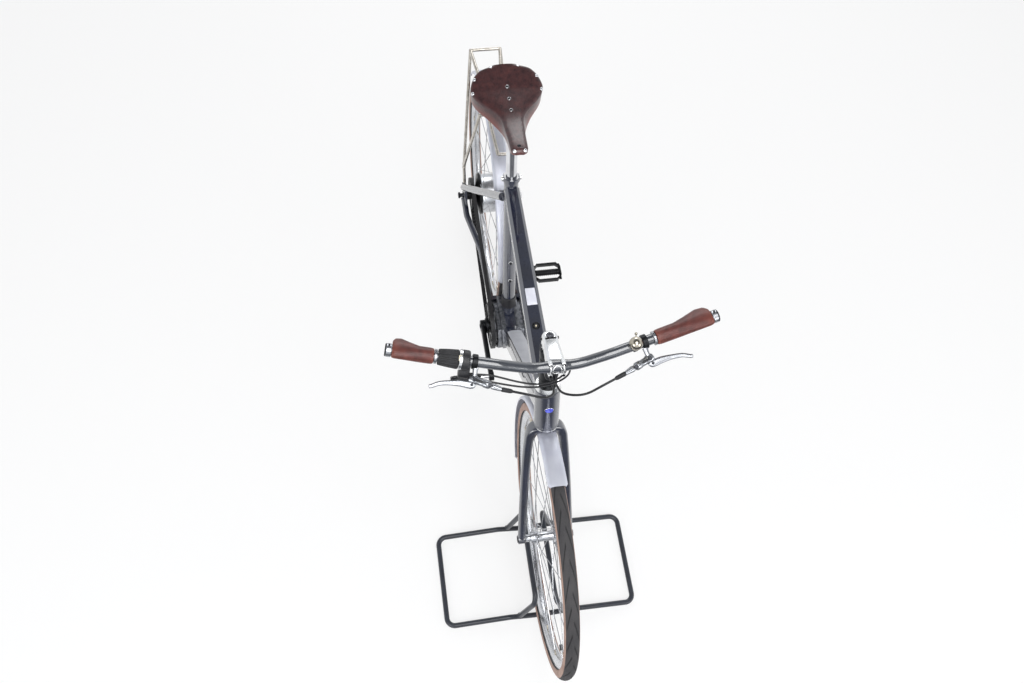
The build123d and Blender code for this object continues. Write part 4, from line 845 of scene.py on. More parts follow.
def pedal(name, body, direction, tilt):
    """Pedal: an eight-sided outer frame, two cross bars, a ribbed barrel and rows of grip studs."""
    way = turn(tilt)
    over = np.cross(way, SIDE)
    centre = BRACKET + CRANK_WAY * direction * CRANK_LENGTH - SIDE * direction * 142
    outline = np.array([(29, 29), (18, 41), (-18, 41), (-29, 29), (-29, -29), (-18, -41), (18, -41), (29, -29)])
    inner = outline - np.sign(outline) * 2.3
    flat = arced(np.concatenate([inner, np.zeros((8, 1))], 1), 5, 5, closed=True)
    path = centre + way * flat[:, :1] + SIDE * flat[:, 1:2]
    frame_part = carried(path, ring(2.2, 8.8, 16, 4), over, wrap=True)
    ends = [rods(centre + SIDE * level + way * [[-26], [26]], centre + SIDE * level + way * [[-5], [5]], 3.2)
            for level in (-37.0, 37.0)]
    ribs = [(level + step, size) for level in np.arange(-33, 34, 6.0)
            for step, size in ((-1.5, 8.6), (-0.5, 9.6), (0.5, 9.6), (1.5, 8.6))]
    barrel = spun(centre, SIDE, [(-40, 6.0), (-40, 9), (-36, 9.6), *ribs, (36, 9.6), (40, 9), (40, 6.0)], 32)
    grid = np.stack(np.meshgrid([-26.7, 26.7], np.arange(-28, 29, 8.0), [-8.6, 8.6]), -1).reshape(-1, 3)
    places = centre + way * grid[:, :1] + SIDE * grid[:, 1:2] + over * grid[:, 2:]
    outwards = over * np.sign(grid[:, 2:])
    studs = bolts(places - outwards, outwards, 1.8, 1.4, 0.8)
    piece(name + "_cage", together(frame_part, barrel, *ends), DARK_ALLOY, body, name, crease=35,
          extra=[(studs, STEEL_BOLT)])


pedal("pedal_right", "right_pedal", 1, 60.0)
pedal("pedal_left", "left_pedal", -1, 0.0)


# ---------------------------------------------------------------- fork, column and stem

BAR_BORE = 11.3                       # radius inside everything that is clamped to the bar
STEERER = 14.4                        # radius inside everything that sits on the fork's tube

# One blade from its foot to its crown: side, height and how far forward.
blade = np.array([(59, 6, 49), (55.5, 84, 38), (51, 174, 25), (46, 250, 14), (41, 310, 6), (36.5, 336, 3),
                  (28, 352, 0), (13, 359.5, 0)])
sweep = np.concatenate([blade, [[0, 361, 0]], (blade * (-1, 1, 1))[::-1]])
fork_path = np.array([steer(height, out, side) for side, height, out in smooth(sweep, 120)])
# From the crown at 0 to the feet at 1: half widths across and forward, and how square the section is.
place = np.abs(np.linspace(-1, 1, len(fork_path)))
across_half = np.interp(place, [0, 0.14, 0.26, 0.40, 0.5, 1], [7.5, 9, 11.5, 12, 11.2, 9.9])
out_half = np.interp(place, [0, 0.14, 0.26, 0.40, 0.5, 1], [18, 17.6, 15.5, 12.4, 11.4, 10.2])
power = np.interp(place, [0, 0.3, 0.5, 1], [5, 4, 2.4, 2])
fork_section = np.stack([ring(a, b, 24, p) for a, b, p in zip(across_half, out_half, power)])
dropouts = [spun(FRONT, SIDE, np.array([(50.2, 6.1), (50.2, 10.5), (51.2, 11.9), (67.6, 11.9), (68.8, 10.8),
                                        (68.8, 6.1)]) * (s, 1), 40) for s in (-1, 1)]
race = spun(steer(0), UP, [(364.5, STEERER), (364.5, 26.5), (366, 28), (368.4, 28), (368.9, 27), (368.9, STEERER)],
            60)
piece("fork_enamelled", together(carried(fork_path, fork_section, OUT), *dropouts, bar(steer(360), steer(630), 14.2)),
      NAVY, "front_end", "fork", crease=40, extra=[(race, SILVER)])

ends = [spun(FRONT, SIDE * s, [(69.0, 4), (69.0, 7.8), (69.4, 8.6), (70.2, 8.2), (70.4, 7.2), (70.4, 3.2),
                               (69.6, 2.4)], 32, closed=False) for s in (-1, 1)]
piece("front_axle_bolts", together(bar(FRONT - SIDE * 69, FRONT + SIDE * 69, 5.9, sides=24), *ends), DARK_ALLOY,
      "front_end", "front_axle", crease=30)

head_profile = [(369.6, 14.6), (369.6, 28.2), (370.4, 29), (376, 29), (377, 28.6), (479, 28.6), (480, 29), (485.4, 29),
                (486.2, 28.2), (486.2, 14.6)]
piece("head_tube_enamelled", spun(steer(0), UP, head_profile, 72, start=OUT), NAVY, "frame",
      "head_tube", crease=12)


HEAD_RADIUS = 28.6


def stuck(height, tall, wide, thick):
    """Oval badge bent round the head tube: rings from its rim to its middle, each on the tube's face."""
    sizes = np.array([1.0, 1.0, 0.96, 0.7, 0.35, 0.02])
    lifts = np.array([-0.2, 0.5, 1.0, 1.0, 1.0, 1.0]) * thick
    flat = ring(wide / 2, tall / 2, 36)
    angle, rise = (flat * sizes[:, None, None]).transpose(2, 0, 1)[..., None]
    angle, out = angle / HEAD_RADIUS, (HEAD_RADIUS + lifts)[:, None, None]
    return skin(steer(0) + UP * (height + rise) + OUT * (np.cos(angle) * out) + SIDE * (np.sin(angle) * out))


piece("head_badge", stuck(438.6, 13, 19, 1.2), BADGE, "frame", crease=50)
piece("head_badge_ring", stuck(438.6, 14.4, 20.6, 0.5), SILVER, "frame", crease=50)

cone = spun(steer(0), UP, [(486.9, STEERER), (486.9, 28.2), (488, 28.8), (491, 28.2), (498.4, 26.2), (498.6, 25.4),
                           (498.6, STEERER)], 72)
# Five spacers, each a little narrower than the one below it, between the cone and the stem.
column = [(498.9, STEERER)]
for spacer in range(5):
    low, less = 498.9 + spacer * 20, spacer * 0.15
    column += [(low, 20.2), (low + 0.6, 20.9 - less), (low + 19.2, 20.8 - less), (low + 19.8, 20.0)]
column += [(598.6, STEERER)]
front_boss = bar(steer(552.8), steer(552.8, 35.6), 14.8, sides=36, bevel=2)
ports = []
for height, angle in ((588.2, math.radians(35)), (570.2, math.radians(50))):
    way = OUT * math.cos(angle) + SIDE * math.sin(angle)
    ports.append(bar(steer(height), steer(height) + way * 23.6, 4.5, sides=20, bevel=0.8))
piece("headset_cone", cone, SILVER, "front_end", crease=30)
piece("headset_column", spun(steer(0), UP, column, 60), DARK_ALLOY, "front_end", "headset_spacers",
      crease=30, extra=[(together(front_boss, *ports), POLYMER)])

STEM_MIDDLE = 618.8
BAR_CENTRE = steer(STEM_MIDDLE, 72)
# The stem from behind the column to the bar: how far forward, half its width and half its height.
stem_steps = [(-17.3, 3, 14), (-16.2, 8.2, 17.6), (-13.5, 12.6, 19.2), (-9, 16, 19.9), (-4, 17.3, 20), (4, 17.5, 20),
              (14, 16.6, 18), (26, 17.2, 16.6), (40, 18.2, 15.6), (54, 18.9, 15), (63, 19, 15), (69.5, 18.8, 14.6),
              (71.2, 18.2, 14)]
stem_path = np.array([steer(STEM_MIDDLE, out) for out, _, _ in stem_steps])
stem_section = np.stack([ring(wide, tall, 36, 4.2) for _, wide, tall in stem_steps])
# A thin dark plate across the stem's top is painted shade, standing for the slot.
slot_shade_band = slab(rounded(oblong(12, 1.8), 1.7), 0, 0.5, 0.3, 3, steer(STEM_MIDDLE + 19.2, 8), -SIDE, OUT)
stem_cap = spun(steer(0), UP, [(636, 3), (636, 8.6), (639.4, 8.6), (640, 8), (640, 3.6), (638.8, 3), (638.8, 1)],
                48, closed=False)
side_bolts = bolts([steer(STEM_MIDDLE + h, -2, s * 17.2) for h in (-9, 9) for s in (-1, 1)],
                   [SIDE * s for h in (-9, 9) for s in (-1, 1)], 3.4, 2.2, 1.8)
piece("stem_body", carried(stem_path, stem_section, UP), SILVER, "front_end", "stem", crease=40,
      extra=[(together(stem_cap, side_bolts), STEEL_BOLT), (slot_shade_band, DARK_ALLOY)])

# Two straps hold the bar; a wire arch joins them in front of it.
STRAP_SIDE, STRAP_RADIUS = 13.6, 14.6
strap_angle = np.radians(np.linspace(-78, 78, 21))[:, None]
straps = []
for s in (-1, 1):
    strap_middle = BAR_CENTRE + SIDE * s * STRAP_SIDE
    path = strap_middle + (OUT * np.cos(strap_angle) + UP * np.sin(strap_angle)) * STRAP_RADIUS
    straps.append(carried(path, ring(4.6, 1.9, 16, 4), SIDE))
    for h in (-1, 1):
        straps.append(bar(strap_middle + UP * h * 15.4 + OUT * 0.8,
                          strap_middle + UP * h * STRAP_RADIUS + OUT * 13, 4.6, 4.4, 20, 1.2))
arch_angle = np.linspace(0, 2 * np.pi, 36, endpoint=False)
arch_rise = np.sin(arch_angle) * 10.5
arch_out = np.sqrt(np.maximum(14.2 ** 2 - arch_rise ** 2, 0))
arch = BAR_CENTRE + SIDE * (np.cos(arch_angle) * 9.4)[:, None] + UP * arch_rise[:, None] + OUT * arch_out[:, None]
cap_bolts = bolts([BAR_CENTRE + SIDE * s * STRAP_SIDE + UP * h * STRAP_RADIUS + OUT * 12.6
                   for s in (-1, 1) for h in (-1, 1)], OUT, 3.2, 2.4, 1.7)
piece("stem_straps", together(*straps, tube(arch, 1.5, OUT, 12, wrap=True)), SILVER, "front_end",
      "stem_faceplate", crease=40, extra=[(cap_bolts, STEEL_BOLT)])


# ---------------------------------------------------------------- bar and grips

BEND, BAR_TIP, GRIP_END = 112, 333, 326       # how far out the bar's outer run starts, and it and the grips end


def bar_point(side, reach):
    """Middle of the bar's outer run, by how far out it is: it comes back and up evenly."""
    share = (reach - BEND) / (BAR_TIP - BEND)
    return BAR_CENTRE + np.array([-(5 + 43.7 * share), side * reach, 21 + 32.3 * share])


def bar_axis(side):
    """Way along the bar's outer run, outwards."""
    return unit(bar_point(side, BAR_TIP) - bar_point(side, BEND))


bend = [bar_point(-1, BAR_TIP), bar_point(-1, BEND), BAR_CENTRE - SIDE * 48, BAR_CENTRE + SIDE * 48,
        bar_point(1, BEND), bar_point(1, BAR_TIP)]
bar_path = arced(bend, 120, 14)
# More stations on the middle run, where the bar swells inside the stem.
long_bar = np.concatenate([bar_path[:29], np.linspace(bar_path[28], bar_path[29], 12)[1:-1], bar_path[29:]])
swell = 11.1 + 1.5 * np.clip((26 - np.abs(long_bar[:, 1])) / 5, 0, 1)
piece("bar_enamelled", tube(long_bar, swell, UP, 32), BAR_PAINT, "front_end", "handlebar", crease=40)

BACK_WAY = np.array([-1.0, 0.0, -0.35])       # the palm rests widen backwards and a little down


def grip(side, inner, name):
    """Leather grip: round inside, widening backwards to a palm rest outside, with a stitched seam."""
    rows, columns = 44, 48
    axis = bar_axis(side)
    back = unit(BACK_WAY - axis * BACK_WAY.dot(axis))
    over = np.cross(axis, back) * side
    share = np.linspace(0, 1, rows)
    reach = inner + 0.6 + (GRIP_END - inner - 1.2) * share
    width = np.interp(share, [0, 0.36, 0.58, 0.8, 0.94, 1], [33, 34, 43, 53, 51.5, 45]) - 0.6
    depth = np.interp(share, [0, 0.45, 0.8, 1], [33, 32, 29, 28]) - 0.6
    end = 1 - 0.10 * np.exp(-share * rows / 1.2) - 0.12 * np.exp(-(1 - share) * rows / 1.2)
    centre = np.array([bar_point(side, r) for r in reach]) + back * ((width - 33) * 0.42)[:, None]
    angle = np.linspace(0, 2 * np.pi, columns, endpoint=False)
    pucker = 1 - 0.02 * np.exp(-((angle - np.pi) / 0.12) ** 2)
    offset = (np.cos(angle) * pucker)[:, None] * (width * end / 2)[:, None, None] * back
    offset = offset + np.sin(angle)[:, None] * (depth * end / 2)[:, None, None] * over
    made = piece(name + "_leather", skin(centre[:, None] + offset), GRIP_LEATHER, "front_end",
                 name, crease=50)
    worn = np.clip(np.exp(-share * 14) + np.exp(-(1 - share) * 9), 0, 1)
    mark(made, "worn", np.repeat(worn, columns))
    # One stitch every four millimetres of the seam along the grip's front.
    pick = np.linspace(2, rows - 3, int((GRIP_END - inner) / 4))
    front = centre - back * (width * end / 2)[:, None] * 0.985
    seam = np.stack([np.interp(pick, np.arange(rows), front[:, i]) for i in range(3)], -1)
    across = over * 2.0 - axis * 0.6
    piece(name + "_stitches", rods(seam - across, seam + across, 0.55, sides=6), THREAD, "front_end")
    rings = [spun(bar_point(side, inner - 6), axis,
                  [(0, BAR_BORE), (0, 14), (0.8, 15), (4.6, 15), (5.4, 14.2), (5.4, BAR_BORE)], 40),
             spun(bar_point(side, GRIP_END + 0.4), axis,
                  [(0, BAR_BORE), (0, 12.8), (0.9, 13.6), (9.6, 13.6), (10.6, 12.6), (10.6, BAR_BORE)], 40)]
    plug = spun(bar_point(side, GRIP_END), axis, [(0, 10.8), (10.9, 10.8), (11.0, 13), (12.4, 13), (13.4, 11.5),
                                                  (13.4, 6), (12.2, 5), (12.2, 1)], 40, closed=False)
    screws = bolts([bar_point(side, inner - 3.3) + over * 14.2, bar_point(side, GRIP_END + 5.5) + over * 15.2],
                   over, 2.1, 1.4, 0.9)
    return together(*rings), plug, screws


clamp_rings, bar_plugs, clamp_screws = (together(*both) for both in zip(grip(1, 206, "grip_left"),
                                                                        grip(-1, 245, "grip_right")))
piece("grip_clamp_rings", clamp_rings, FORGED, "front_end", "grip_clamps", crease=30,
      extra=[(bar_plugs, DARK_ALLOY), (clamp_screws, STEEL_BOLT)])


# ---------------------------------------------------------------- shifter, levers and bell

def fluted(profile, centre, axis, count, depth, sides):
    """Turned profile whose radius dips between ribs: the radius less the depth times the low side of
    a cosine; the profile's third numbers say how much of the depth its places take."""
    place, radius, share = np.array(profile, float).T[..., None]
    across = unit(np.cross(axis, RISE))
    over = np.cross(across, axis)
    angle = np.linspace(0, 2 * np.pi, sides, endpoint=False)
    radius = radius - depth * np.clip(0.5 - 0.9 * np.cos(angle * count), 0, 1) * share
    way = across * np.cos(angle)[:, None] + over * np.sin(angle)[:, None]
    return skin(centre + axis * place[..., None] + way * radius[..., None])


def cord_start(route):
    """Where a cord leaves its control, in millimetres, and the way it takes there."""
    first, second = np.array(route[:2]) / MM
    return first, unit(second - first)


# Twist shifter on the right: ribbed sleeve, ring with a scale window, housing and the box for two cables.
right_axis = bar_axis(-1)
twist = fluted([(0, BAR_BORE, 0), (0, 18, 0), (1, 19.6, 0.4), (4, 19.6, 1), (20, 18.4, 1), (35, 16.9, 1),
                (39.6, 16.2, 0.6), (40.8, 15, 0), (40.8, BAR_BORE, 0)], bar_point(-1, 197.3), right_axis, 18, 1.1, 216)
scale_ring = spun(bar_point(-1, 190), right_axis, [(0, BAR_BORE), (0, 20.4), (0.6, 21.3), (5.8, 21.3), (6.6, 20.2),
                                                   (6.6, BAR_BORE)], 48)
housing = spun(bar_point(-1, 175), right_axis, [(0.2, BAR_BORE), (0.2, 18.4), (2, 20.6), (5, 21), (14, 21),
                                                (14.8, 20.4), (14.8, BAR_BORE)], 48)
box_middle = bar_point(-1, 186) + (7.0, 0, -16)
box_x = unit([1, 0, -1])
box_x = unit(box_x - right_axis * box_x.dot(right_axis))
box_edge = ring(22.6, 14.6, 36, 3.4)
box_edge = box_x * box_edge[:, :1] + np.cross(right_axis, box_x) * box_edge[:, 1:]
box_part = skin(np.stack([box_middle + right_axis * step + box_edge * grow for step, grow in (
    (-11, 0.86), (-10, 0.96), (-8, 1), (8, 1), (10, 0.96), (11, 0.86))]))
window_way = unit(UP * 0.8 + OUT * 0.6)
window = slab(rounded(oblong(6, 3.6), 2), 0, 1.0, 0.4, 3, bar_point(-1, 193) + window_way * 20.8,
              unit(np.cross(window_way, right_axis)), right_axis)
leads = []
for route in (UPPER_CABLE, LOWER_CABLE):
    cord_end, cord_way = cord_start(route)
    leads.append(bar(cord_end - cord_way * 22, cord_end, 3.9, 3.1, 16, 0.6))
piece("twist_grip_ribbed", twist, RUBBER, "front_end", "twist_shifter", crease=35,
      extra=[(together(housing, box_part, *leads), POLYMER), (scale_ring, SILVER), (window, WINDOW)])


def brake(side, reach, route, name):
    """Hydraulic brake lever: hinged clamp, slanting cylinder in line with its hose, and a thin blade
    that sweeps along an S from the pivot to a turned-up tip."""
    forward = unit([1, 0, -0.42])
    root, axis = bar_point(side, reach), bar_axis(side)
    hose_end, hose_way = cord_start(route)
    sleeve = hose_end - hose_way * 22
    outer = root + forward * 37 + axis * 6
    inner = outer + (sleeve - outer) * 0.62
    over = unit(np.cross(forward, axis))
    over = over * np.sign(over[2])
    band = spun(root - axis * 5.5, axis, [(0, BAR_BORE), (0, 14.4), (0.8, 15.2), (10.2, 15.2), (11, 14.4),
                                          (11, BAR_BORE)], 48)
    lug = carried(np.array([root + forward * t for t in (13, 20, 30, 37)]) + axis * np.array([0, 1.5, 4, 6])[:, None],
                  ring(5.5, 6.5, 20, 3.4), over, size=np.array([1.1, 0.9, 0.9, 1.05]))
    run, length = unit(inner - outer), np.linalg.norm(inner - outer)
    waist, neck_end = length * 0.42, length * 0.8
    body = spun(outer - run * 9, run, [
        (0, 3), (0, 6.6), (1.6, 8.6), (4, 9), (waist, 9), (waist + 2, 7.6), (neck_end, 7.6), (neck_end + 2, 8.6),
        (length + 4, 8.6), (length + 6, 7.6), (length + 9, 5), (length + 9, 2)], 40, closed=False, start=over)
    neck = spun(inner, unit(sleeve - inner), [(0, 5.4), (3, 6.6), (6, 6.6), (np.linalg.norm(sleeve - inner), 4.4)],
                24, closed=False)
    boot = fluted([(0, 4.5, 0), (1, 5.0, 0.5), (18, 4.7, 1), (22, 3.6, 0), (22.6, 2.6, 0)], sleeve, hose_way,
                  8, 0.5, 64)
    pivot = root + forward * 48 + axis * 12
    elbow = root + forward * 49 + axis * 52
    tip = root + forward * 62 + axis * 99
    spine = smooth([outer + forward * 4, pivot, (pivot + elbow) / 2 - forward, elbow,
                    (elbow + tip) / 2 - forward * 2.5, tip - axis * 6 - forward * 1.5, tip], 60)
    share = np.linspace(0, 1, len(spine))
    wide = np.interp(share, [0, 0.15, 0.3, 0.55, 0.9, 0.97, 1], [5.0, 8.2, 7.4, 5.0, 3.9, 4.2, 1.6])
    thick = np.interp(share, [0, 0.2, 0.5, 0.95, 1], [4.6, 4.4, 3.0, 2.6, 1.0])
    lever = carried(spine, ring(count=20, power=2.6) * np.stack([wide, thick], -1)[:, None], over)
    screws = bolts([outer + over * 8.6, outer + run * (length * 0.9) + over * 7.4], over, 4.2, 2.4, 2)
    pivot_pin = bar(pivot - over * 6.6, pivot + over * 6.6, 3.2, sides=20, bevel=0.8)
    inset = slab(rounded(oblong(9, 2.6), 2), 0, 0.7, 0.3, 3, outer + run * (length * 0.22) + over * 8.7, run,
                 unit(np.cross(over, run)))
    piece(name + "_silver", together(lug, body, neck, lever), FORGED, "front_end", name, crease=40,
          extra=[(band, DARK_ALLOY), (together(screws, pivot_pin), STEEL_BOLT), (boot, RUBBER), (inset, POLYMER)])


brake(-1, 165, RIGHT_HOSE, "brake_lever_right")
brake(1, 182, LEFT_HOSE, "brake_lever_left")

bell_root = bar_point(1, 160)
dome = bell_root + (6.0, 0, 20)
bell_axis = unit(dome - bell_root)
# The bell is a ball with a fine seam round its middle.
half = np.radians(np.linspace(4, 178, 22))
shell = np.stack([-np.cos(half), np.sin(half)], -1) * 14.3
shell[:, 1] -= 0.5 * np.exp(-((np.degrees(half) - 90) / 3) ** 2)
bell_ball = spun(dome, bell_axis, shell, 48, closed=False)
bell_band = spun(bell_root - bar_axis(1) * 4.5, bar_axis(1), [(0, BAR_BORE), (0, 12.8), (0.6, 13.4), (8.4, 13.4),
                                                              (9, 12.8), (9, BAR_BORE)], 40)
striker = tube(smooth(dome + np.array([(-6, 4, -8), (-14, 5, -11), (-21, 6, -9), (-25, 6, -6)]), 16), 1.4, SIDE, 12)
piece("bell_dome", bell_ball, NICKEL, "front_end", "bell", crease=40,
      extra=[(together(bell_band, bar(bell_root + bell_axis * 12, dome, 3.4, sides=20)), DARK_ALLOY),
             (together(striker, knob(dome + (-25, 6, -6), 3.2)), NICKEL)])


# ---------------------------------------------------------------- front fender, caliper and stand

FENDER_RADIUS = 354.0


def fender(name, centre, start, end, body, mount):
    """Curved strip: a shallow channel carried round the axle, its lips turned in, its tips rounded."""
    turns = np.linspace(start, end, int((end - start) * 1.2))
    outer = np.array([(-22, 345), (-21.4, 349.6), (-19, 352.2), (-12, 353.6), (0, FENDER_RADIUS)])
    inner = np.array([(20.6, 345), (20, 349), (18.2, 350.9), (11.6, 352.2), (0, 352.6)])
    other = np.array([-1, 1])                                    # the other half of each is its mirror image
    level, radius = np.concatenate([outer, outer[-2::-1] * other, inner, inner[-2::-1] * other]).T
    edge = np.minimum(turns - turns[0], turns[-1] - turns) * np.pi / 180 * 352
    narrow = np.sqrt(np.clip(1 - np.clip(1 - edge / 5, 0, 1) ** 2, 0.64, 1))[:, None]
    piece(name + "_strip", skin(centre + turn(turns[:, None], radius, level * narrow)), SATIN, body,
          name, crease=45, extra=[(mount, DARK_ALLOY)])


fender("front_fender", FRONT, 91.5, 215, "front_end", bar(steer(354.6), steer(350.4), 5.8, sides=24))


def caliper(name, centre, way, disc_level, low, high, body):
    """Brake caliper: two halves joined over the disc, drawn as a rounded block with a slot, a round cap
    and two bolts."""
    cross = np.cross(way, SIDE)
    place = centre + way * 68
    halves = [slab(rounded(oblong(19, 23), 8), a, b, 1.2, 3, place, way, -cross)
              for a, b in ((low, disc_level - 2.5), (disc_level + 2.5, high))]
    bridge = slab(rounded([(16.5, -21), (19, -21), (19, 21), (16.5, 21)], 1), low + 1, high - 1, 0.3, 3, place, way,
                  -cross)
    ports = bolts([place + SIDE * high + way * 2 + cross * s * 14 for s in (-1, 1)], SIDE, 3.6, 1.6, 2)
    cover = spun(place, SIDE, [(high - 1, 3), (high - 1, 9.5), (high + 0.4, 9), (high + 0.4, 3)], 32)
    piece(name + "_block", together(*halves, bridge), DARK_ALLOY, body, name, crease=40,
          extra=[(together(ports, cover), STEEL_BOLT)])


caliper("front_caliper", FRONT, unit(UP * 58 - OUT * 34), 36, 28.5, 49, "front_end")
caliper("rear_caliper", REAR, turn(28.0), 52, 44, 66.5, "frame")

# Floor stand: one closed loop whose two cross runs rise to a peak, and a hoop on each side of the wheel.
STAND = FRONT * (1, 0, 0)
TUBE, LOOP_HALF = 7.0, 123
cross_run = np.array([(0, -258, TUBE), (0, -88, 21), (0, -24, TUBE), (0, 24, TUBE), (0, 88, 21), (0, 258, TUBE)])
loop = arced(STAND + np.concatenate([cross_run + (LOOP_HALF, 0, 0), cross_run[::-1] - (LOOP_HALF, 0, 0)]), 22, 10,
             closed=True)
holders, welds = [], []
for s in (-1, 1):
    corners = [(-LOOP_HALF, s * 62, 18), (-121, s * 26, 157), (121, s * 26, 157), (LOOP_HALF, s * 62, 18)]
    holders.append(tube(arced(STAND + np.array(corners), 28, 12), TUBE, SIDE, 24))
    for way in (-1, 1):
        foot, knee = STAND + (way * LOOP_HALF, s * 62.0, 15.5), STAND + (way * 121, s * 26.0, 157)
        rise = unit(knee - foot)
        welds.append(spun(foot + rise * 7.4, rise, [(-1.4, 6.8), (-1.0, 8.4), (0, 9.0), (1.4, 8.4), (2.6, 6.9)], 24))
for name, shell, node in (("stand_loop_tube", tube(loop, TUBE, RISE, 24, wrap=True), "display_stand"),
                          ("stand_holder_tube", together(*holders, *welds), "wheel_holder")):
    piece(name, shell, POWDER, "front_end", node, crease=40)


# ---------------------------------------------------------------- frame tubes

DOWN_HALF = 26.8                      # half the down tube's height
down_start = BRACKET + (30.0, 0, 9)
down_end = steer(431.4)
down_way = unit(down_end - down_start)
down_up = np.array([-down_way[2], 0, down_way[0]])
down_run = np.linalg.norm(down_end - down_start)
down_path = down_start + down_way * np.linspace(0, down_run - 14, 30)[:, None]
down_size = np.interp(np.linspace(0, 1, 30), [0, 0.9, 1], [1, 1, 0.98])       # a little slimmer at its front
piece("down_tube_enamelled", carried(down_path, ring(24.8, DOWN_HALF, 64, 4.4), down_up, size=down_size), NAVY,
      "frame", "down_tube", crease=40)

lid_start, lid_end, LID_HALF_WIDTH = 107.0, down_run - 62, 19
lid_half = (lid_end - lid_start) / 2
lid_place = (down_start + down_way * ((lid_start + lid_end) / 2) + down_up * DOWN_HALF, down_way,
             np.cross(down_up, down_way))


def lid(grow):
    """Outline of the battery lid: square-cornered ahead, a half oval behind, grown by a margin."""
    def outline(inset):
        draw = inset - grow
        front, half_width, corner = lid_half - draw, LID_HALF_WIDTH - draw, 2
        angle = np.linspace(np.pi / 2, 3 * np.pi / 2, 25)
        tail = np.stack([-lid_half + np.cos(angle) * (14 - draw), np.sin(angle) * half_width], -1)
        nose = np.array([(front - corner, -half_width), (front, corner - half_width)])
        return np.concatenate([tail, nose, nose[::-1] * (1, -1)])
    return outline


piece("battery_lid", slab(lid(0.0), 0.1, 2.5, 0.8, 4, *lid_place), COVER, "frame", "battery_cover",
      crease=40)
piece("battery_gasket", slab(lid(1.8), -0.6, 0.9, 0.3, 3, *lid_place), RUBBER, "frame", crease=40)

TUBE_TOP = 508.0
top_start, top_end = seat(TUBE_TOP - 23), steer(486.4 - 36)
top_way = unit(top_end - top_start)
top_up = np.array([-top_way[2], 0, top_way[0]])


def bevelled(width, depth):
    """Tube outline with a flat top, bevelled shoulders and a narrower foot, its corners rounded."""
    half, up = width / 2, depth / 2
    return shrunk([(-half, up - 7), (-half, 4 - up), (7 - half, -up), (half - 7, -up), (half, 4 - up), (half, up - 7),
                   (half * 0.62, up), (-half * 0.62, up)], 0.0, 1.6, 4)


top_share = np.linspace(0, 1, 30) * 0.955 + 0.018
top_path = top_start + (top_end - top_start) * top_share[:, None]
top_section = np.stack([bevelled(36 + 10 * t, 34 + 2 * t) for t in top_share])
piece("top_tube_enamelled", carried(top_path, top_section, top_up), NAVY, "frame", "top_tube", crease=18)


def on_top(along, lift=0.0):
    """Place on the middle of the top tube's flat, by how far it is from the seat tube's middle."""
    return top_start + top_way * along + top_up * (17.0 + along / 540 + lift)


label_part = slab(rounded([(-22, -11.4), (22, -11.9), (22, 11.9), (-22, 11.4)], 1.5), 0, 0.4, 0.1, 2,
                  on_top(314, -0.1), top_way, np.cross(top_up, top_way))
piece("label_blank", label_part, LABEL, "frame", crease=40)
BUTTON = on_top(390)
button_ring = spun(BUTTON, top_up, [(-0.5, 6), (-0.5, 9), (0.9, 9), (1.4, 8.4), (1.4, 7), (0.5, 6.4)], 36)
button = spun(BUTTON, top_up, [(-0.5, 1), (-0.5, 6.2), (0.9, 6.1), (1.3, 5.4), (1.3, 1)], 36, closed=False)
button_light = spun(BUTTON, top_up, [(1.0, 0.3), (1.0, 2.2), (1.6, 2.0), (1.7, 0.4)], 20, closed=False)
piece("power_button", button, POLYMER, "frame", crease=30,
      extra=[(button_ring, DARK_ALLOY), (button_light, WINDOW)])

seat_profile = [(30, 12), (30, 17.2), (492, 17.2), (494, 17.9), (507.4, 17.9), (TUBE_TOP, 17.2), (TUBE_TOP, 13.7),
                (379, 13.7), (379, 12)]
seat_shell = spun(seat(0), SEAT_UP, seat_profile, 60, start=SEAT_OUT)
BOTTLE_BOSSES = (184, 248)            # heights of the two bolts of a bottle cage
bosses = [spun(seat(height, 17.0), SEAT_OUT, [(-2, 2.6), (-2, 5.4), (0.3, 5.2), (1.2, 4.4), (1.2, 2.6)], 24)
          for height in BOTTLE_BOSSES]
boss_bolts = bolts([seat(height, 18) for height in BOTTLE_BOSSES], SEAT_OUT, 3.9, 2.6, 1.6)
collar = spun(seat(0), SEAT_UP, [(78, 17.0), (78, 18.8), (79, 19.6), (112, 19.6), (113, 18.8), (113, 17.0)], 48)
piece("seat_tube_enamelled", seat_shell, NAVY, "frame", "seat_tube", crease=30,
      extra=[(together(*bosses), SILVER), (boss_bolts, STEEL_BOLT), (collar, POLYMER)])


# ---------------------------------------------------------------- gearbox and yoke

# Levels here run to the right of the middle.
gearbox_edge = [(-67, -8), (-59, 34), (-27, 52), (47, 52), (69, 28), (65, -18), (41, -60), (-25, -60), (-53, -42)]
cheeks = [slab(rounded(gearbox_edge, 6), low, high, 2.5, 4, BRACKET) for low, high in ((-53.5, -36), (24, 38.4))]
core = slab(rounded(gearbox_edge, 6, -3.0), -40, 28, 1.5, 3, BRACKET)
ribs = [slab(rounded(gearbox_edge, 6, -0.6), level - 1.6, level + 1.6, 1.0, 3, BRACKET)
        for level in np.arange(-28, 22, 9.5)]
bolt_places = BRACKET + np.array([(-52, 0, -30), (-50, 0, 26), (-22, 0, 43), (36, 0, 43), (57, 0, 22), (54, 0, -16),
                                  (34, 0, -48), (-18, 0, -50)])
gear_bolts = together(bolts(bolt_places + SIDE * 53.2, SIDE, 4.2, 3, 2),
                      bolts(bolt_places - SIDE * 38.2, -SIDE, 4.2, 3, 2))
face_rings = [spun(BRACKET, SIDE, [(53, 14), (53, 34), (55.4, 32), (55.4, 24), (54, 22), (54, 14)], 60),
              spun(BRACKET, SIDE, [(-38, 14), (-38, 30), (-40.2, 28), (-40.2, 18), (-39.4, 14)], 60)]
piece("gearbox_cast", together(*cheeks, core, *ribs), CAST, "frame", "gearbox", crease=30,
      extra=[(gear_bolts, STEEL_BOLT), (together(*face_rings), CAST)])

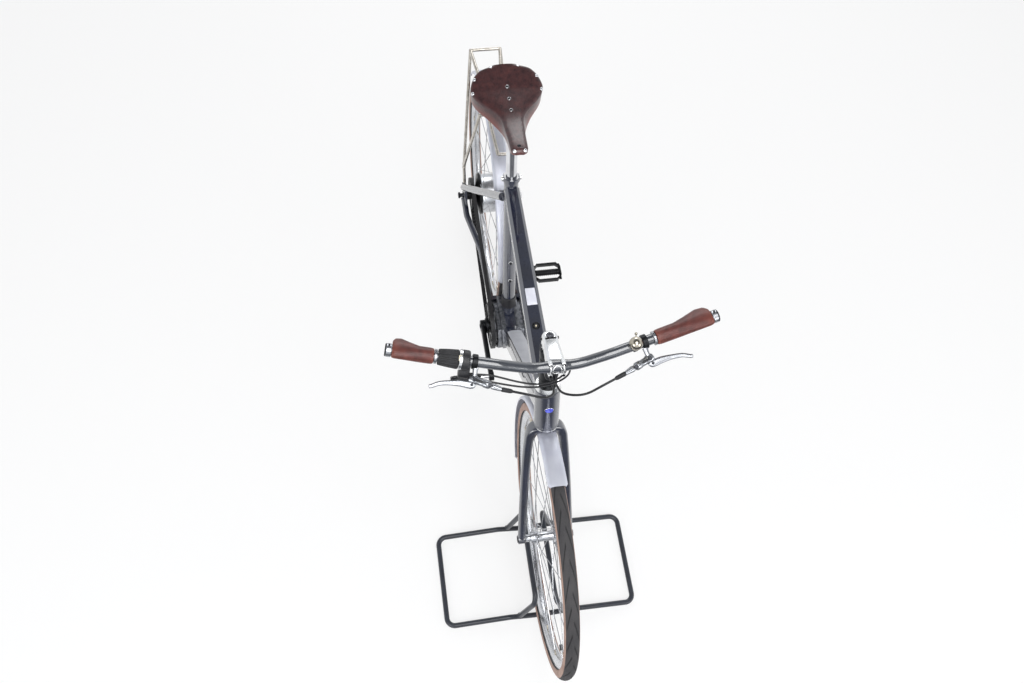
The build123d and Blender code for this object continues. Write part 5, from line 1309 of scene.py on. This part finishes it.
yoke = frame["nodes"]["frame_yoke"]
edge = yoke.modifiers.new("edge", "BEVEL")
edge.width = 2 * MM
edge.segments = 3
edge.limit_method = "ANGLE"
edge.angle_limit = math.radians(30)
yoke.data.materials.clear()
yoke.data.materials.append(NAVY)
yoke_edge = [(-71, 17), (-67, 44), (-31, 60), (51, 60), (77, 32), (76, 17)]
shoulders = [slab(rounded(yoke_edge, 5, 0.9), low, high, 1.5, 3, BRACKET) for low, high in ((-26.9, -14), (14, 26.9))]
piece("yoke_castings", together(*shoulders), CAST, "frame", crease=30)

stays, stay_welds = [], []
for s in (-1, 1):
    path = arced([REAR + (8, s * 75.0, -6), REAR + (68, s * 74.0, -10), REAR + (184, s * 46.0, -25),
                  BRACKET + (-71, s * 40.0, 17)], 60, 10)
    stays.append(tube(path, 8.8, RISE, 24))
    low, high = sorted((-s * 67.7, -s * 75.3))
    stays.append(slab(rounded([(-12, 5), (4, -14), (44, -14), (20, 44), (-8, 50)], 4), low, high, 1.2, 3, REAR))
    stay_welds.append(spun(BRACKET + (-78, s * 40.2, 16.6), LEVEL, [(-2, 8.6), (-1, 10), (0.4, 10.4), (2, 9.4),
                                                                    (2, 8.6)], 28))
piece("chain_stays_enamelled", together(*stays, *stay_welds), NAVY, "frame", "chain_stays", crease=40)

low, high = REAR + (5, 76.0, 44), seat(TUBE_TOP - 56, -8, 19)
share = np.linspace(0, 1, 12)[:, None]
seat_stays = [tube((low + (high - low) * share) * (1, s, 1), 9.8 + 1.0 * share[:, 0], RISE, 24) for s in (-1, 1)]
# The bridge runs across as far from the axle as the fender's top and the bridge's own radius ask.
BRIDGE_RADIUS, BRIDGE_GAP = 7, 3.0
low_reach, high_reach = (np.linalg.norm((place - REAR) * (1, 0, 1)) for place in (low, high))
bridge = low + (high - low) * ((FENDER_RADIUS + BRIDGE_RADIUS + BRIDGE_GAP - low_reach) / (high_reach - low_reach))
piece("seat_stays_enamelled", together(*seat_stays, bar(bridge * (1, -1, 1), bridge, 6.9, sides=24)), NAVY, "frame",
      "seat_stays", crease=40)

bridge_middle = bridge * (1, 0, 1)
bridge_way = unit(bridge_middle - REAR)
rear_mount = bar(bridge_middle - bridge_way * 5, REAR + bridge_way * (FENDER_RADIUS - 0.6), 5.8, sides=24)
fender("rear_fender", REAR, 9, 148, "frame", rear_mount)

rear_ends = [spun(REAR, SIDE * s, [(85.6, 5.8), (85.6, 9), (86.4, 10), (90, 10), (91.4, 8.6), (91.4, 4), (89.4, 3.4),
                                   (89.4, 1)], 6, closed=False) for s in (-1, 1)]
washers = [spun(REAR, SIDE * s, [(75.6, 6), (75.6, 12), (77.6, 12), (77.6, 6)], 32) for s in (-1, 1)]
piece("rear_axle_nuts", together(bar(REAR - SIDE * 85.6, REAR + SIDE * 85.6, 5.9, sides=24), *rear_ends, *washers),
      STEEL_BOLT, "frame", "rear_axle", crease=30)


# ---------------------------------------------------------------- seat

collar_profile = [(0.2, 13.8), (0.2, 20), (1.4, 21), (11.6, 21), (13, 19.6), (13, 13.8)]
COLLAR = seat(TUBE_TOP + 6.5)
ears = [slab(rounded(oblong(9, 7), 5), low, high, 1, 3, COLLAR, SEAT_OUT, SEAT_UP)
        for low, high in ((-20.2, -16), (16, 20.2))]
ear_caps = [spun(COLLAR, SIDE * s, [(18, 3), (18, 6.4), (24, 6.4), (25, 5.4), (25, 2.6), (23, 2), (23, 0.6)], 24,
                 closed=False) for s in (-1, 1)]
piece("seat_collar", spun(seat(TUBE_TOP), SEAT_UP, collar_profile, 60), NAVY, "frame", "seat_clamp",
      crease=30, extra=[(together(*ears), NAVY), (together(*ear_caps), SILVER)])

POST_HEAD = seat(TUBE_TOP + 147.5)
post = bar(seat(TUBE_TOP - 127), POST_HEAD - SEAT_UP * 6, 13.5, sides=48)
head_block = bar(POST_HEAD - SIDE * 26.6, POST_HEAD + SIDE * 26.6, 10.8, sides=40, bevel=1.5)
jaw_plates = [slab(rounded(oblong(20, 4.4), 3.5), level - 5, level + 5, 1.2, 3, POST_HEAD + RISE * 7.0)
              for level in (22, -22)]
yoke_bolts = bolts([POST_HEAD + (x, 0, 9.6) for x in (-14, 14)], RISE, 4, 3, 2)
piece("post_polished", post, CHROME, "frame", "seatpost", crease=40,
      extra=[(together(head_block, *jaw_plates), SILVER), (yoke_bolts, STEEL_BOLT)])

SADDLE_LENGTH = 268
NOSE = POST_HEAD[0] + 112
TAIL = NOSE - SADDLE_LENGTH
# Along the saddle from its nose: share of the length, half width, depth and height of the crown.
STATIONS = np.array([(0.00, 17, 17, 46), (0.06, 20, 20, 48), (0.28, 24, 26, 40), (0.50, 44, 38, 34),
                     (0.76, 84, 42, 34), (0.90, 76, 32, 42), (1.00, 50, 20, 48)])
SHOULDER = 0.74                       # the part of the half width, v, at which the skirt begins
SADDLE_ROWS, SADDLE_COLUMNS = 96, 65
saddle_share = 0.35 * (1 - np.cos(np.linspace(0, np.pi, SADDLE_ROWS))) / 2 + 0.65 * np.linspace(0, 1, SADDLE_ROWS)
saddle_v = np.linspace(-1, 1, SADDLE_COLUMNS)


def near(ends, reach):
    """One at an end, falling evenly to nought at a reach from it."""
    return np.clip(1 - ends / reach, 0, 1)


def saddle_surface(inset):
    """Leather top, drawn in by an inset.  Half width, depth and crown run smoothly through the stations,
    and both ends narrow along an arc.  Across it, the width goes out with the sine and the height falls
    by 0.3 of the depth with the cosine up to the shoulder; the rest is the skirt, straight down, which
    a pinch at the waist lets flare.  The nose rolls down a quarter circle into a short front wall."""
    share, v = saddle_share[:, None], saddle_v
    fitted = smooth(STATIONS[:, 1:], 400)
    place = np.interp(saddle_share, STATIONS[:, 0], np.arange(len(STATIONS)))
    pick = np.linspace(0, len(STATIONS) - 1, 400)
    half, depth, top = (np.interp(place, pick, fitted[:, i])[:, None] for i in range(3))
    half = half * np.sqrt(np.clip(1 - near(share, 0.055) ** 2.2, 0.3, 1)) - inset
    half = half * np.sqrt(np.clip(1 - near(1 - share, 0.05) ** 2.4, 0.35, 1))
    arc = np.clip(np.abs(v) / SHOULDER, 0, 1) * np.pi / 2
    skirt = np.clip((np.abs(v) - SHOULDER) / (1 - SHOULDER), 0, 1)
    pinch = 0.27 * np.exp(-((share - 0.45) / 0.14) ** 2)
    across = np.sign(v) * half * (np.sin(arc) ** 0.92 * (1 - pinch) + pinch * skirt ** 0.8 - 0.02 * skirt)
    dish = 2.6 * np.exp(-((share - 0.42) / 0.16) ** 2) * np.cos(arc) ** 2
    drop = (0.30 * depth * (1 - np.cos(arc) ** 0.9) + depth * 0.70 * skirt * (1 - 0.6 * near(share, 0.10)) + dish)
    drop = drop + (0.5 * depth - drop) * (1 - np.sqrt(1 - 0.98 * near(share, 0.045) ** 2))
    x = (NOSE - share * SADDLE_LENGTH - 6 * np.exp(-share / 0.08)
         + inset * ((share > 0.95).astype(float) - (share < 0.05)))
    return np.stack([np.broadcast_to(x, across.shape), across, POST_HEAD[2] + top - drop - inset * (1 - skirt)], -1)


outer_top = saddle_surface(0.0)
saddle = piece("saddle_leather_top", skin(np.concatenate([outer_top, saddle_surface(4.2)[:, ::-1]], 1)),
               SADDLE_LEATHER, "frame", "saddle_cover", crease=42)
redness = np.clip((np.abs(saddle_v) - 0.80) / 0.2, 0, 1) + 0.3 * near(saddle_share, 0.06)[:, None]
mark(saddle, "worn", np.concatenate([np.clip(redness, 0, 1), np.zeros_like(redness)], 1))


def on_saddle(share, v):
    """Place and outward way on the saddle's top, from its grid: share of the length, part of the width."""
    row = np.clip(np.argmin(np.abs(saddle_share - share)), 1, SADDLE_ROWS - 2)
    column = np.clip(round((v + 1) / 2 * (SADDLE_COLUMNS - 1)), 1, SADDLE_COLUMNS - 2)
    way = unit(np.cross(outer_top[row + 1, column] - outer_top[row - 1, column],
                        outer_top[row, column + 1] - outer_top[row, column - 1]))
    return outer_top[row, column], way * np.sign(way[2] + 1e-6)


def rivet_heads(spots, radius, height):
    """Domed rivets: a quarter circle turned about its own axis, one at each spot."""
    angle = np.linspace(0, np.pi / 2 - 0.05, 6)
    dome_profile = np.concatenate([[[-1.0, radius]], np.stack([np.sin(angle) * height, np.cos(angle) * radius], -1)])
    base = spun(np.zeros(3), RISE, dome_profile, 20, closed=False)
    places, ways = (np.array(part) for part in zip(*spots))
    return copies(base, places, facing(ways))


rivets = rivet_heads([on_saddle(share, s * v) for share, v in ((0.985, 0.45), (0.89, 0.60), (0.76, 0.62), (0.03, 0.36))
                      for s in (-1, 1)], 4.4, 1.9)
nose_screw = rivet_heads([on_saddle(0.09, 0.0)], 4.2, 1.6)
# Each eyelet is a chrome ring under a black cap of painted shade, which stands for its hole.
eyelet_spots = [on_saddle(share, 0.0) for share in (0.532, 0.655, 0.788)]
piece("saddle_rivets", rivets, CHROME, "frame", crease=40, extra=[
    (rivet_heads(eyelet_spots, 4.3, 0.7), CHROME), (rivet_heads(eyelet_spots, 3.7, 1.2), HOLE_SHADE_BLACK),
    (nose_screw, STEEL_BOLT)])

rails = [tube(arced(RISE * POST_HEAD[2] + np.array([
    (TAIL + 26, s * 48, 16), (TAIL + 62, s * 22, 8), (POST_HEAD[0] + 34, s * 22, 8), (NOSE - 22, s * 9, 27)]), 18, 8),
    3.45, RISE, 18) for s in (-1, 1)]
piece("saddle_rails_chromed", together(*rails), CHROME, "frame", "saddle_rails", crease=40)


# ---------------------------------------------------------------- rack

RACK_TUBE = 4.4
rack_parts, rack_bolts = [], []
for s in (-1, 1):
    foot, apex, rear_end, knee, side_end, front_end = REAR + np.array([
        (-12, 71.5, 40), (-34, 71, 97), (-176, 40, 406), (-89, 30, 406), (42, 43, 399), (176, 14, 402)]) * (1, s, 1)
    rack_parts += [bar(start, end, RACK_TUBE) for start, end in ((foot, apex), (apex, rear_end), (apex, side_end))]
    rack_parts.append(tube(arced([rear_end, knee, front_end], 60, 8), RACK_TUBE, RISE, 20))
    rack_parts += [knob(place, RACK_TUBE + 0.1) for place in (apex, rear_end, side_end)]
    rack_parts.append(spun(foot + (0, 0, -2), SIDE, [(-3.4, 3.2), (-3.4, 7.6), (-2.6, 8.4), (2.6, 8.4), (3.4, 7.6),
                                                     (3.4, 3.2)], 28))
    rack_bolts.append(bolts(foot + (0, s * 3.4, -2), SIDE * s, 5, 3, 2.2))
    for way in (unit(end - apex) for end in (rear_end, side_end, foot)):
        rack_parts.append(spun(apex + way * 6, way, [(-2.4, 4.3), (-1.4, 5.2), (0, 5.6), (1.4, 5.2), (2.6, 4.3)], 20))
# After the loop these are the left side's ends: a bar joins each to its like on the right.
rack_parts += [bar(end * (1, -1, 1), end, RACK_TUBE) for end in (rear_end, side_end, front_end)]
piece("rack_tube", together(*rack_parts), STAINLESS, "frame", "rear_rack", crease=40,
      extra=[(together(*rack_bolts), STEEL_BOLT)])
